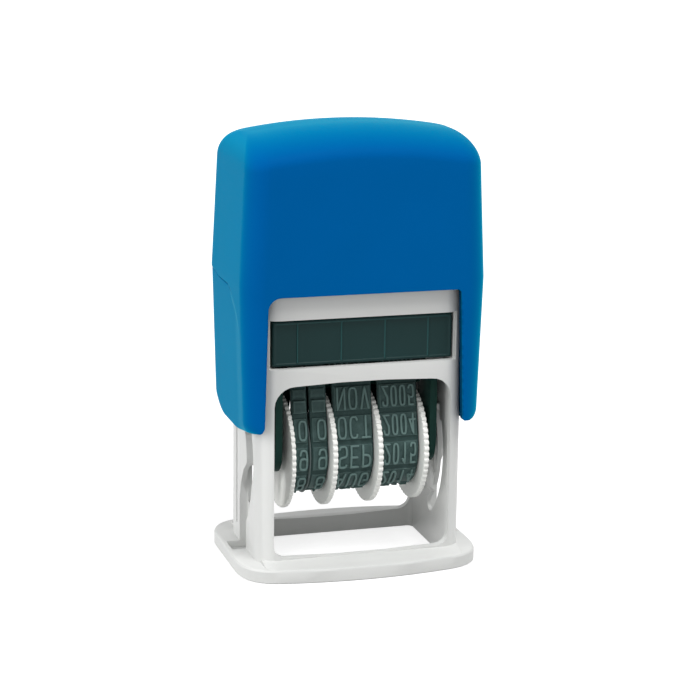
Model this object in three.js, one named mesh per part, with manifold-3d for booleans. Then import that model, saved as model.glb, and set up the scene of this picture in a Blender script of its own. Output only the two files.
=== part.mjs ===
// A pocket self-inking date stamp. A sprung blue cap slides down over a white frame.
// Pressing it lowers a date unit, which turns over on the way: its printing face leaves
// the ink pad above it, swings out through the front window and lands on the paper.
// Four toothed thumb wheels in the unit turn the four printing bands.
// Millimetres, +Z up, front towards -Y, origin on the table under the middle.

import * as THREE from "three";
import { mergeVertices } from "three/addons/utils/BufferGeometryUtils.js";
import Module from "manifold-3d";

const wasm = await Module();
wasm.setup();

// Clearances
const FIT_GAP = 0.3;            // between neighbouring pieces
const SLIDE_GAP = 0.35;         // between the frame and the cap that slides over it
const PAPER_GAP = 0.05;         // left between the print face and the paper, cap down
const STOP_GAP = 0.35;          // left between the frame's rim and the cap's roof, cap down
const LEG_GAP = 0.65;           // left between the cap's legs and the foot, cap down
const OVERRUN = 1;              // how far a cut runs past the face that it opens

// Printing bands: closed loops of twelve rows
const ROW_COUNT = 12;
const ROW_PITCH = 5;
const TILE_LENGTH = 4.1;        // raised block under each character, along the band
const TILE_HEIGHT = 0.25;
const TILE_MARGIN = 0.25;       // bare edge beside the blocks
const LETTER_HEIGHT = 0.25;     // room for the characters on the blocks
const BAND_THICKNESS = 1.1;
const BAND_BLANK = 2.6;         // bare part of the loop, opposite the print face
const BAND_RADIUS = 7.3;        // outer face where the band turns round its drum
const BAND_NOSE = 2.6;          // outer radius where it turns over the platen's edges
const BAND_HALF_FLAT = 2;       // half of the flat print face between these edges
const SLOPE_LEAST = 0.02;       // in radians, between these the bands' runs may slope
const SLOPE_MOST = 0.7;
const BAND_STEPS = 48;
const TILE_STEPS = 4;

// Thumb wheels and their shaft
const WHEEL_RADIUS = 10.2;
const WHEEL_THICKNESS = 0.85;
const TOOTH_COUNT = 60;
const TOOTH_DEPTH = 0.5;
const TOOTH_TIP_SHARE = 0.4;    // tip's part of the tooth pitch
const TOOTH_ROOT_SHARE = 0.3;
const SHAFT_HEIGHT = 19.35;     // shaft's centre above the table, at rest
const SHAFT_RADIUS = 1.4;
const SHAFT_NECK_RADIUS = 1.0;  // groove for the clips
const SHAFT_HEAD = 0.4;         // length of shaft beyond each clip's groove

// Widths of what is stacked along the shaft
const TENS_WIDTH = 2.5;
const UNITS_WIDTH = 2.7;
const MONTH_WIDTH = 6.6;
const YEAR_WIDTH = 6.7;
const DIVIDER_THICKNESS = 0.24;
const DIVIDER_GAP = 0.23;
const DIVIDER_PROUD = 0.55;     // how far the divider stands out past the bands' faces
const PLATE_GAP = 0.9;
const PLATE_THICKNESS = 1.2;
const CLIP_THICKNESS = 0.5;
const CLIP_RADIUS = 2.5;
const CLIP_MOUTH_ANGLE = 0.5;   // half the clip's open angle, in radians

// Date unit and its turning gear
const PIVOT_RISE = 4.352;        // pivot's height over the shaft
const CRANK = 5;                // guide pin's height over the pivot
const PIVOT_RADIUS = 1.3;
const PIN_RADIUS = 1.0;
const PIN_COLLAR_RADIUS = 1.6;
const PIN_COLLAR_LENGTH = 0.7;
const PIN_REACH = 1.1;          // how far a pin enters the cap's leg
const PLATE_HALF_DEPTH = 7.5;
const PLATE_CORNER = 1;
const PLATE_TAPER = 2.4;        // where the plate's lower corners begin, over the shaft
const PLATE_SOLE = 3;           // the plate's lower edge, under the shaft
const PLATE_SOLE_HALF = 2.5;    // half of that edge's level part
const PLATEN_BASE_GAP = 0.55;   // between the platen bar and the wheels under it
const PLATEN_CORNER_SHARE = 0.445;  // rounding of the bar's edges, as a part of its height
const SHOE_HALF_HEIGHT = 2.2;
const SHOE_HALF_DEPTH = 1.4;
const SHOE_DEPTH = 0.95;        // how deep a shoe sits in its groove

// Ink pad and its cartridge
const PAD_GAP = 0.15;           // between the print face and the pad, at rest
const PAD_PROUD = 0.4;          // how far the pad hangs out of its cartridge
const PAD_DEPTH = 6;            // how deep the pad sits in its cartridge
const PAD_HALF_LENGTH = 12.7;
const PAD_HALF_DEPTH = 7.7;
const TRAY_HEIGHT = 7.7;
const TRAY_RECESS = 1.0;        // cartridge's front, behind the frame's front
const TRAY_CORNER = 0.6;
const TRAY_BORDER = 0.6;        // width of the raised rim round the cartridge's front
const TRAY_BORDER_HEIGHT = 0.25;
const TRAY_RIB_WIDTH = 0.25;
const TRAY_RIB_COUNT = 4;
const TRAY_RIB_SPACING = 7.6;

// Frame
const SIDE_ROOM = 1.7;          // between the date unit's plates and the side walls
const SIDE_WALL = 2.1;
const FRAME_HALF_DEPTH = 11.4;
const FACE_WALL = 1.45;
const FRAME_CORNER = 3.7;       // at the front
const FRAME_BACK_CORNER = 5;
const CAVITY_CORNER = 3.4;
const WELL_CORNER = 1;          // of the cavity under the ledges
const RIM_HEIGHT = 3.65;        // frame's rim above the deck under the spring
const RIM_ROUND = 1.1;
const DECK_THICKNESS = 1.5;
const LEDGE_WIDTH = 1.5;        // ledges that the cartridge lies on
const LEDGE_THICKNESS = 1.1;
const WINDOW_HALF_WIDTH = 15.5;
const WINDOW_CORNER = 3.5;
const SILL_CORNER = 2.2;        // the window's lower corners
const WINDOW_BOW = 0.35;
const BRIDGE_HEIGHT = 2.65;     // frame between the two windows of a face
const PAD_WINDOW_EXTRA = 0.3;   // pad window's reach into each side wall
const TRACK_HALF_WIDTH = 2.25;  // groove in each outer face that runs along the cam slot
const TRACK_DEPTH = 1.4;
const TRACK_NARROW_SHARE = 0.62;  // part of the way down where its front edge has closed in
const TRACK_STRAIGHT_TOP = 10.5;
const SLOT_STEPS = 20;
const GROOVE_GAP = 0.35;        // round a swivel shoe, in its groove
const SEAM_PLACE = 4.3;         // fine upright groove on each side wall, behind the middle
const SEAM_WIDTH = 0.8;
const SEAM_DEPTH = 0.4;
const SEAM_RISE = 2.3;          // its lower end, over the curb

// Foot
const FOOT_THICKNESS = 2.5;
const FOOT_LEDGE = 3.1;         // foot's reach past the side walls
const FOOT_CORNER_REACH = 6.2;  // length of the rounded corners, along the long edges
const FOOT_CORNER_DEPTH = 7.8;  // and along the short edges
const FOOT_CORNER_SHARE = 0.62; // how full the corners are
const FOOT_HALF_DEPTH = 16.2;
const FOOT_BOW = 1.35;          // how much the long edges swell in the middle
const FOOT_ROUND = 0.45;
const FOOT_STEPS = 8;
const CURB_HEIGHT = 3;
const CURB_SIDE_INSET = 0.7;    // curb's end, inside the side wall's outer face
const CURB_TOE = 1.2;           // curb's toe, inside the foot's edge
const POCKET_FLOOR = 1.2;
const POCKET_LENGTH = 2.4;      // track's pocket in the foot, past the side wall

// Return spring
const SPRING_RADIUS = 4.7;      // to the wire's centre
const SPRING_WIRE = 0.9;
const SPRING_TURNS = 7;
const SPRING_END_PITCH = 1.4;
const SPRING_STEPS_PER_TURN = 8;
const SPRING_SIDES = 5;
const BOSS_HEIGHT = 4.9;
const SPRING_RING_WALL = 1.2;
const SPRING_RING_HEIGHT = 3.5;

// Cap
const CAP_SIDE_WALL = 2;        // at the legs' lower ends
const CAP_SIDE_SWELL = 0.75;    // extra half width at the grip line
const CAP_TOP_DRAFT = 0.9;      // half width lost from the grip line to the shoulder
const CAP_FACE_WALL = 1.55;
const CAP_FACE_DRAFT = 0.25;
const CAP_CORNER = 3.8;
const CAP_CROWN = 4.45;         // thickness of the roof at the middle, over the frame's room
const CAP_ROOF = 2.4;           // thickness of the roof over the spring
const CAP_DOME_RADIUS = 100;
const CAP_EDGE_RISE = 4.3;      // height of the rounding of the top's edges
const CAP_EDGE_SIDE = 2.7;      // its reach inwards at the two sides
const CAP_EDGE_FACE = 11.2;     // and at the front and back
const CAP_EDGE_EASE = 1;        // less rounding in height at the two sides
const CAP_TOP_CORNER = 1.5;
const CAP_EDGE_STEPS = 8;
const CAP_CORNER_STEPS = 6;
const CAP_EDGE_RUNS = 8;
const CAP_HOLLOW_HALF_LENGTH = 12;
const CAP_HOLLOW_HALF_DEPTH = 7.2;
const COVER_LAP = 0.86;         // how far the cap's face covers the frame's rim
const CUTOUT_HALF_WIDTH = 17.2;
const CUTOUT_CORNER = 2;
const GRIP_LINE_RISE = 1.56;    // grip line's height over the cut-out
const LEG_CURVE_START = 1;      // where the legs' lower edges begin to rise, behind the middle
const LEG_CURVE_RISE = 18;      // how much higher the edge is at the back
const LEG_TOE_START = 3;        // where they begin to rise to the front, ahead of the middle
const LEG_TOE_RISE = 1.3;       // how much higher the edge is at the front
const LEG_OUTER_ROUND = 2;
const LEG_INNER_ROUND = 1;
const LEG_SLOT_HALF_LENGTH = 3.95;
const LEG_SLOT_HALF_HEIGHT = 2.42;

const ROUND_STEPS = 12;         // a full circle has twice as many sides
const ARC_STEPS = 3;            // a quarter circle has twice as many sides

// Heights that follow from the loop of the bands
// A band's sloping runs touch both its drum and the platen's rounded edges. The more they
// slope, the shorter the loop, so halving steps find the slope that gives it its length.
const bandLoop = ROW_COUNT * ROW_PITCH + BAND_BLANK;

function loopAt(slope) {
  const drawIn = BAND_RADIUS - BAND_NOSE - BAND_HALF_FLAT * Math.cos(slope);
  const rise = drawIn / Math.sin(slope);
  const straight = rise * Math.cos(slope) - BAND_HALF_FLAT * Math.sin(slope);
  const turns = BAND_NOSE * (Math.PI / 2 - slope) + BAND_RADIUS * (Math.PI / 2 + slope);
  return { slope, rise, straight, half: BAND_HALF_FLAT + straight + turns };
}

let slopeLow = SLOPE_LEAST;
let slopeHigh = SLOPE_MOST;
for (let i = 0; i < BAND_STEPS; i += 1) {
  const middle = (slopeLow + slopeHigh) / 2;
  if (loopAt(middle).half > bandLoop / 2) slopeLow = middle;
  else slopeHigh = middle;
}
const bandSlope = slopeLow;
const bandStraight = loopAt(bandSlope).straight;
const bandShoulder = SHAFT_HEIGHT + loopAt(bandSlope).rise;
const bandTop = bandShoulder + BAND_NOSE;
const printHeight = bandTop + TILE_HEIGHT + LETTER_HEIGHT;
const pivotHeight = SHAFT_HEIGHT + PIVOT_RISE;
const pinHeight = pivotHeight + CRANK;
const pivotPressed = printHeight - pivotHeight + PAPER_GAP;
const pivotTravel = pivotHeight - pivotPressed;
const capTravel = pivotTravel + 2 * CRANK;
const padFace = printHeight + PAD_GAP;
const trayBottom = padFace + PAD_PROUD;
const trayTop = trayBottom + TRAY_HEIGHT;
const padWindowBottom = trayBottom - FIT_GAP;
const padWindowTop = trayTop + FIT_GAP;
const deckTop = padWindowTop + DECK_THICKNESS;
const frameTop = deckTop + RIM_HEIGHT;
const windowTop = padWindowBottom - BRIDGE_HEIGHT;
const cutoutTop = frameTop - COVER_LAP;
const gripLine = cutoutTop + GRIP_LINE_RISE;
const legBottom = FOOT_THICKNESS + LEG_GAP + capTravel;
const roofHeight = frameTop + capTravel + STOP_GAP;
const capTop = roofHeight + CAP_CROWN;
const springCeiling = capTop - CAP_ROOF;

// Places along the shaft, from the left plate to the right one
const hubRadius = BAND_RADIUS - BAND_THICKNESS - FIT_GAP;
const stack = {};
const stackOrder = [
  ["leftGap", PLATE_GAP], ["wheel1", WHEEL_THICKNESS], ["gap1", FIT_GAP],
  ["tens", TENS_WIDTH], ["gap2", DIVIDER_GAP], ["divider", DIVIDER_THICKNESS],
  ["gap3", DIVIDER_GAP], ["units", UNITS_WIDTH], ["gap4", FIT_GAP],
  ["wheel2", WHEEL_THICKNESS], ["gap5", FIT_GAP], ["month", MONTH_WIDTH],
  ["gap6", FIT_GAP], ["wheel3", WHEEL_THICKNESS], ["gap7", FIT_GAP],
  ["year", YEAR_WIDTH], ["gap8", FIT_GAP], ["wheel4", WHEEL_THICKNESS],
  ["rightGap", PLATE_GAP],
];
const cageInner = stackOrder.reduce((sum, entry) => sum + entry[1], 0) / 2;
let stackPlace = -cageInner;
for (const [name, width] of stackOrder) {
  stack[name] = [stackPlace, stackPlace + width];
  stackPlace += width;
}
const cageOuter = cageInner + PLATE_THICKNESS;
const wallInner = cageOuter + SIDE_ROOM;
const wallOuter = wallInner + SIDE_WALL;
const faceInner = FRAME_HALF_DEPTH - FACE_WALL;
const legInner = wallOuter + SLIDE_GAP;
const pinEnd = legInner + PIN_REACH;
const capFace = FRAME_HALF_DEPTH + SLIDE_GAP + CAP_FACE_WALL;

// Colours of the moulded plastics
const material = (color, roughness) =>
  new THREE.MeshStandardMaterial({ color, roughness, metalness: 0 });
const BLUE = material(0x0064aa, 0.38);
const WHITE = material(0xdcdcd8, 0.45);
const WHEEL_WHITE = material(0xe4e4e1, 0.5);
const ANTHRACITE = material(0x1b2d2a, 0.5);
const INK_GREY = material(0x273c3b, 0.45);
const BAND_GREY = material(0x445252, 0.6);
const FELT = material(0x14161c, 0.95);
const STEEL = new THREE.MeshStandardMaterial({ color: 0xb4b8ba, roughness: 0.3, metalness: 1 });

// Solids from three.js geometry and back
function solidOf(geometry) {
  const bare = geometry.clone();
  bare.deleteAttribute("normal");
  bare.deleteAttribute("uv");
  const merged = mergeVertices(bare);
  return new wasm.Manifold(new wasm.Mesh({
    numProp: 3,
    vertProperties: Float32Array.from(merged.attributes.position.array),
    triVerts: Uint32Array.from(merged.index.array),
  }));
}

function geometryOf(solid) {
  const mesh = solid.getMesh();
  const geometry = new THREE.BufferGeometry();
  geometry.setAttribute("position", new THREE.BufferAttribute(mesh.vertProperties, 3));
  geometry.setIndex(new THREE.BufferAttribute(mesh.triVerts, 1));
  geometry.computeVertexNormals();
  return geometry;
}

// An outline pushed along an axis. Shapes for X hold (y, z), for Y hold (x, z).
const axisX = new THREE.Vector3(1, 0, 0);
const axisY = new THREE.Vector3(0, 1, 0);
const axisZ = new THREE.Vector3(0, 0, 1);

function extrude(shape, depth, curveSegments) {
  return new THREE.ExtrudeGeometry(shape, { depth, bevelEnabled: false, curveSegments });
}

function alongZ(shape, from, to, curveSegments = ARC_STEPS) {
  return solidOf(extrude(shape, to - from, curveSegments).translate(0, 0, from));
}

function alongX(shape, from, to, curveSegments = ARC_STEPS) {
  const turn = new THREE.Matrix4().makeBasis(axisY, axisZ, axisX);
  return solidOf(extrude(shape, to - from, curveSegments).applyMatrix4(turn).translate(from, 0, 0));
}

function alongY(shape, from, to, curveSegments = ARC_STEPS) {
  const turn = new THREE.Matrix4().makeBasis(axisX, axisZ, axisY.clone().negate());
  return solidOf(extrude(shape, to - from, curveSegments).applyMatrix4(turn).translate(0, to, 0));
}

function rectangle(left, bottom, right, top) {
  const shape = new THREE.Shape();
  shape.moveTo(left, bottom);
  shape.lineTo(right, bottom);
  shape.lineTo(right, top);
  shape.lineTo(left, top);
  return shape;
}

function roundedRectangle(left, bottom, right, top, radius) {
  const shape = new THREE.Shape();
  shape.moveTo(left + radius, bottom);
  shape.absarc(right - radius, bottom + radius, radius, -Math.PI / 2, 0);
  shape.absarc(right - radius, top - radius, radius, 0, Math.PI / 2);
  shape.absarc(left + radius, top - radius, radius, Math.PI / 2, Math.PI);
  shape.absarc(left + radius, bottom + radius, radius, Math.PI, Math.PI * 1.5);
  return shape;
}

const centred = (halfX, halfY, radius) => roundedRectangle(-halfX, -halfY, halfX, halfY, radius);

function disc(x, y, radius) {
  const shape = new THREE.Shape();
  shape.absarc(x, y, radius, 0, Math.PI * 2);
  return shape;
}

function hole(shape, x, y, radius) {
  const path = new THREE.Path();
  path.absarc(x, y, radius, 0, Math.PI * 2, true);
  shape.holes.push(path);
  return shape;
}

const points2 = (list) => new THREE.Shape(list.map(([a, b]) => new THREE.Vector2(a, b)));

// A closed body through rings of equal length, each counterclockwise seen from above,
// closed at both ends by a fan round the ring's middle
function loft(rings) {
  const size = rings[0].length;
  const middle = (ring) => ring
    .reduce((sum, point) => sum.add(point), new THREE.Vector3())
    .divideScalar(size);
  const ends = [middle(rings[0]), middle(rings[rings.length - 1])];
  const positions = [...rings.flat(), ...ends].flatMap((point) => point.toArray());
  const index = [];
  const low = rings.length * size;
  const last = (rings.length - 1) * size;
  for (let j = 0; j < size; j += 1) {
    const next = (j + 1) % size;
    for (let k = 0; k < rings.length - 1; k += 1) {
      const a = k * size;
      const b = a + size;
      index.push(a + j, a + next, b + next, a + j, b + next, b + j);
    }
    index.push(low, next, j, low + 1, last + j, last + next);
  }
  const geometry = new THREE.BufferGeometry();
  geometry.setAttribute("position", new THREE.Float32BufferAttribute(positions, 3));
  geometry.setIndex(index);
  return solidOf(geometry);
}

// One ring of a rounded rectangle, with points along the long edges for a domed top
function ringOutline(halfX, halfY, radius, backRadius = radius) {
  const corner = (sideX, sideY, start) => {
    const r = sideY > 0 ? backRadius : radius;
    return Array.from({ length: CAP_CORNER_STEPS + 1 }, (_, i) => {
      const angle = start + (Math.PI / 2) * (i / CAP_CORNER_STEPS);
      return [sideX * (halfX - r) + r * Math.cos(angle), sideY * (halfY - r) + r * Math.sin(angle)];
    });
  };
  const edge = (toX, r, y) => Array.from({ length: CAP_EDGE_RUNS - 1 }, (_, i) =>
    [toX * (halfX - r) * (2 * ((i + 1) / CAP_EDGE_RUNS) - 1), y]);
  return [
    ...corner(1, 1, 0), ...edge(-1, backRadius, halfY), ...corner(-1, 1, Math.PI / 2),
    ...corner(-1, -1, Math.PI), ...edge(1, radius, -halfY), ...corner(1, -1, Math.PI * 1.5),
  ];
}

const ringAt = (outline, heightAt) => outline.map(([x, y]) => new THREE.Vector3(x, y, heightAt(x)));

// Where a point lies on the loop of a band, by the way along it from the middle of the
// print face towards the front, and its distance outside the band's face
function loopPoint(way, outside) {
  const place = ((way % bandLoop) + bandLoop) % bandLoop;
  const side = place > bandLoop / 2 ? -1 : 1;
  const s = Math.min(place, bandLoop - place);
  const noseEnd = BAND_HALF_FLAT + (Math.PI / 2 - bandSlope) * BAND_NOSE;
  const straightEnd = noseEnd + bandStraight;
  if (s < BAND_HALF_FLAT) return [-side * s, bandTop + outside];
  if (s < straightEnd) {
    const angle = Math.min((s - BAND_HALF_FLAT) / BAND_NOSE, Math.PI / 2 - bandSlope);
    const radius = BAND_NOSE + outside;
    const down = Math.max(s - noseEnd, 0);
    const reach = BAND_HALF_FLAT + radius * Math.sin(angle) + down * Math.sin(bandSlope);
    return [-side * reach,
      bandShoulder + radius * Math.cos(angle) - down * Math.cos(bandSlope)];
  }
  const angle = (s - straightEnd) / BAND_RADIUS - bandSlope;
  const radius = BAND_RADIUS + outside;
  return [-side * radius * Math.cos(angle), SHAFT_HEIGHT - radius * Math.sin(angle)];
}

function loopOutline(outside) {
  return Array.from({ length: BAND_STEPS }, (_, i) =>
    loopPoint((bandLoop * i) / BAND_STEPS, outside));
}

function withHole(outline, inner) {
  const shape = points2(outline);
  shape.holes.push(new THREE.Path(inner.map(([a, b]) => new THREE.Vector2(a, b))));
  return shape;
}

// A printing band: a smooth loop with one raised block for each row
function bandSolid([left, right]) {
  const inner = loopOutline(-BAND_THICKNESS);
  const core = loopOutline(-BAND_THICKNESS / 2);
  const loop = alongX(withHole(loopOutline(0), inner), left, right);
  const relief = [];
  for (let row = 0; row < ROW_COUNT; row += 1) {
    const pastBlank = row > ROW_COUNT / 2 ? BAND_BLANK : 0;
    const start = row * ROW_PITCH + pastBlank - TILE_LENGTH / 2;
    const under = -BAND_THICKNESS / 4;
    relief.push(loopPoint(start, under));
    for (let i = 0; i <= TILE_STEPS; i += 1) {
      relief.push(loopPoint(start + (TILE_LENGTH * i) / TILE_STEPS, TILE_HEIGHT));
    }
    relief.push(loopPoint(start + TILE_LENGTH, under));
  }
  const tiles = alongX(withHole(relief, core), left + TILE_MARGIN, right - TILE_MARGIN);
  return loop.add(tiles);
}

// A thumb wheel: a toothed disc, and the drum that carries its band
function thumbWheelSolid([left, right], drumEnd) {
  const pitch = (Math.PI * 2) / TOOTH_COUNT;
  const root = WHEEL_RADIUS - TOOTH_DEPTH;
  const outline = [];
  for (let i = 0; i < TOOTH_COUNT; i += 1) {
    const corners = [
      [-TOOTH_TIP_SHARE / 2, WHEEL_RADIUS], [TOOTH_TIP_SHARE / 2, WHEEL_RADIUS],
      [(1 - TOOTH_ROOT_SHARE) / 2, root], [(1 + TOOTH_ROOT_SHARE) / 2, root],
    ];
    for (const [share, radius] of corners) {
      const angle = (i + share) * pitch;
      outline.push([radius * Math.cos(angle), radius * Math.sin(angle)]);
    }
  }
  const bore = disc(0, 0, SHAFT_RADIUS + FIT_GAP);
  const drumFrom = Math.min(left, drumEnd);
  const drumTo = Math.max(right, drumEnd);
  return alongX(points2(outline), left, right)
    .add(alongX(disc(0, 0, hubRadius), drumFrom, drumTo, ROUND_STEPS))
    .subtract(alongX(bore, drumFrom - OVERRUN, drumTo + OVERRUN, ROUND_STEPS))
    .translate([0, 0, SHAFT_HEIGHT]);
}

// The thin disc between the two day bands
function dividerSolid() {
  const rim = disc(0, 0, BAND_RADIUS + DIVIDER_PROUD);
  return alongX(hole(rim, 0, 0, SHAFT_RADIUS + FIT_GAP), ...stack.divider, ROUND_STEPS)
    .translate([0, 0, SHAFT_HEIGHT]);
}

// Section of the bar that the bands run over
const platenTop = bandTop - BAND_THICKNESS - FIT_GAP;
const platenBottom = SHAFT_HEIGHT + WHEEL_RADIUS + PLATEN_BASE_GAP;

function platenSection(outside) {
  const half = BAND_HALF_FLAT + BAND_NOSE - BAND_THICKNESS - FIT_GAP + outside;
  const corner = PLATEN_CORNER_SHARE * (platenTop - platenBottom);
  return roundedRectangle(-half, platenBottom - outside, half, platenTop + outside,
    corner + outside);
}

// An end plate of the date unit: square at the top, with wide curved corners at its foot
function cagePlateSolid() {
  const top = platenTop;
  const taper = SHAFT_HEIGHT + PLATE_TAPER;
  const sole = SHAFT_HEIGHT - PLATE_SOLE;
  const shape = new THREE.Shape();
  shape.moveTo(PLATE_HALF_DEPTH, taper);
  shape.absarc(PLATE_HALF_DEPTH - PLATE_CORNER, top - PLATE_CORNER, PLATE_CORNER, 0, Math.PI / 2);
  shape.absarc(-PLATE_HALF_DEPTH + PLATE_CORNER, top - PLATE_CORNER, PLATE_CORNER,
    Math.PI / 2, Math.PI);
  shape.lineTo(-PLATE_HALF_DEPTH, taper);
  shape.quadraticCurveTo(-PLATE_HALF_DEPTH, sole, -PLATE_SOLE_HALF, sole);
  shape.lineTo(PLATE_SOLE_HALF, sole);
  shape.quadraticCurveTo(PLATE_HALF_DEPTH, sole, PLATE_HALF_DEPTH, taper);
  hole(shape, 0, SHAFT_HEIGHT, SHAFT_RADIUS + FIT_GAP);
  hole(shape, 0, pivotHeight, PIVOT_RADIUS + FIT_GAP);
  hole(shape, 0, pinHeight, PIN_RADIUS + FIT_GAP);
  return alongX(shape, cageInner, cageOuter, ROUND_STEPS / 2);
}

// Round pieces that lie along X: a profile of (radius, x) turned about their own axis
function turnedAlongX(profile, height) {
  const outline = profile.map(([radius, x]) => new THREE.Vector2(radius, x));
  const turn = new THREE.Matrix4().makeBasis(axisY, axisX, axisZ.clone().negate());
  const geometry = new THREE.LatheGeometry(outline, ROUND_STEPS * 2).applyMatrix4(turn);
  return solidOf(geometry).translate([0, 0, height]);
}

const clipFace = cageOuter + FIT_GAP;
const clipEnd = clipFace + CLIP_THICKNESS;

function shaftSolid() {
  const neck = clipFace - FIT_GAP / 3;
  const head = clipEnd + FIT_GAP / 3;
  const end = head + SHAFT_HEAD;
  const rightHalf = [
    [SHAFT_RADIUS, neck], [SHAFT_NECK_RADIUS, neck], [SHAFT_NECK_RADIUS, head],
    [SHAFT_RADIUS, head], [SHAFT_RADIUS, end], [0, end],
  ];
  const leftHalf = rightHalf.map(([radius, x]) => [radius, -x]).reverse();
  return turnedAlongX([...leftHalf, ...rightHalf], SHAFT_HEIGHT);
}

function clipSolid() {
  const shape = new THREE.Shape();
  const from = -Math.PI / 2 + CLIP_MOUTH_ANGLE;
  const to = Math.PI * 1.5 - CLIP_MOUTH_ANGLE;
  shape.absarc(0, 0, CLIP_RADIUS, from, to);
  shape.absarc(0, 0, SHAFT_NECK_RADIUS + FIT_GAP, to, from, true);
  return alongX(shape, clipFace, clipEnd, ROUND_STEPS).translate([0, 0, SHAFT_HEIGHT]);
}

function guidePinSolid() {
  const collar = cageOuter + FIT_GAP;
  return turnedAlongX([
    [0, cageInner], [PIN_RADIUS, cageInner], [PIN_RADIUS, collar],
    [PIN_COLLAR_RADIUS, collar], [PIN_COLLAR_RADIUS, collar + PIN_COLLAR_LENGTH],
    [PIN_RADIUS, collar + PIN_COLLAR_LENGTH], [PIN_RADIUS, pinEnd], [0, pinEnd],
  ], pinHeight);
}

// A sliding block with the stub that the date unit turns on
function shoeSolid() {
  const block = rectangle(-SHOE_HALF_DEPTH, -SHOE_HALF_HEIGHT, SHOE_HALF_DEPTH, SHOE_HALF_HEIGHT);
  const blockFrom = clipEnd + FIT_GAP;
  return alongX(block, blockFrom, wallInner + SHOE_DEPTH)
    .add(alongX(disc(0, 0, PIVOT_RADIUS), cageInner - FIT_GAP, blockFrom + OVERRUN / 2, ROUND_STEPS))
    .translate([0, 0, pivotHeight]);
}

// The path of a guide pin's centre in the frame, for a share of the cap's stroke
function pinPath(share) {
  const turn = Math.PI * share;
  return {
    place: [-CRANK * Math.sin(turn), pivotHeight - pivotTravel * share + CRANK * Math.cos(turn)],
    slope: [-CRANK * Math.PI * Math.cos(turn), -pivotTravel - CRANK * Math.PI * Math.sin(turn)],
  };
}

// What a round of a given half width sweeps along the pin's path. The half width is a
// function of the share of the stroke.
function pathShape(halfAt) {
  const front = [];
  const back = [];
  for (let i = 0; i <= SLOT_STEPS; i += 1) {
    const { place, slope } = pinPath(i / SLOT_STEPS);
    const reach = halfAt(i / SLOT_STEPS) / Math.hypot(...slope);
    front.push([place[0] + slope[1] * reach, place[1] - slope[0] * reach]);
    back.push([place[0] - slope[1] * reach, place[1] + slope[0] * reach]);
  }
  return points2([...front, ...back.reverse()]);
}

// The cam slots through both side walls, just wider than the guide pins
function camSlotSolid() {
  const room = PIN_RADIUS + SLIDE_GAP;
  const length = wallOuter + OVERRUN;
  return alongX(pathShape(() => room), -length, length)
    .add(alongX(disc(0, pinHeight, room), -length, length, ROUND_STEPS))
    .add(alongX(disc(0, pinHeight - capTravel, room), -length, length, ROUND_STEPS));
}

// The wider groove round each slot in the wall's outer face. Below the slot it runs
// straight down into a pocket of the foot.
function trackSolid() {
  const half = TRACK_HALF_WIDTH;
  const from = wallOuter - TRACK_DEPTH;
  const to = wallOuter + POCKET_LENGTH;
  const narrowing = (share) => THREE.MathUtils.smoothstep(share, 1 / 2, TRACK_NARROW_SHARE);
  const path = pathShape((share) => THREE.MathUtils.lerp(
    half, PIN_RADIUS + SLIDE_GAP, narrowing(share)));
  const nose = pinPath(1 / 2).place;
  const straight = new THREE.Shape();
  straight.moveTo(-half, POCKET_FLOOR);
  straight.lineTo(half, POCKET_FLOOR);
  straight.lineTo(half, TRACK_STRAIGHT_TOP);
  straight.quadraticCurveTo(half / 2, nose[1] - half, nose[0] + half, nose[1]);
  straight.lineTo(nose[0], nose[1]);
  straight.lineTo(-half, TRACK_STRAIGHT_TOP);
  const track = alongX(path, from, to)
    .add(alongX(disc(0, pinHeight, half), from, to, ROUND_STEPS))
    .add(alongX(straight, from, to));
  return track.add(track.mirror([1, 0, 0]));
}

// The foot's outline at some distance inside its edge, as a list of (x, y)
function footOutline(inset) {
  const halfX = wallOuter + FOOT_LEDGE - inset;
  const halfY = FOOT_HALF_DEPTH - inset;
  const edgeX = halfX - FOOT_CORNER_REACH;
  const edgeY = halfY - FOOT_BOW;
  const sideY = edgeY - FOOT_CORNER_DEPTH;
  const quarter = (signX, signY) => {
    const full = FOOT_CORNER_SHARE;
    const slope = (2 * FOOT_BOW) / edgeX;
    return new THREE.CubicBezierCurve(
      new THREE.Vector2(signX * halfX, signY * sideY),
      new THREE.Vector2(signX * halfX, signY * (sideY + FOOT_CORNER_DEPTH * full)),
      new THREE.Vector2(signX * (edgeX + FOOT_CORNER_REACH * full),
        signY * (edgeY - FOOT_CORNER_REACH * full * slope)),
      new THREE.Vector2(signX * edgeX, signY * edgeY),
    ).getPoints(FOOT_STEPS);
  };
  const bow = (sign) => new THREE.QuadraticBezierCurve(
    new THREE.Vector2(sign * edgeX, sign * edgeY),
    new THREE.Vector2(0, sign * (edgeY + 2 * FOOT_BOW)),
    new THREE.Vector2(-sign * edgeX, sign * edgeY),
  ).getPoints(FOOT_STEPS).slice(1, -1);
  return [
    ...quarter(1, 1), ...bow(1), ...quarter(-1, 1).reverse(),
    ...quarter(-1, -1), ...bow(-1), ...quarter(1, -1).reverse(),
  ].map((point) => [point.x, point.y]);
}

function footSolid() {
  const ring = (inset, height) => ringAt(footOutline(inset), () => height);
  const half = FOOT_ROUND * (1 - Math.SQRT1_2);
  return loft([
    ring(FOOT_ROUND / 2, 0), ring(0, FOOT_ROUND / 2), ring(0, FOOT_THICKNESS - FOOT_ROUND),
    ring(half, FOOT_THICKNESS - half), ring(FOOT_ROUND, FOOT_THICKNESS),
  ]);
}

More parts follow.
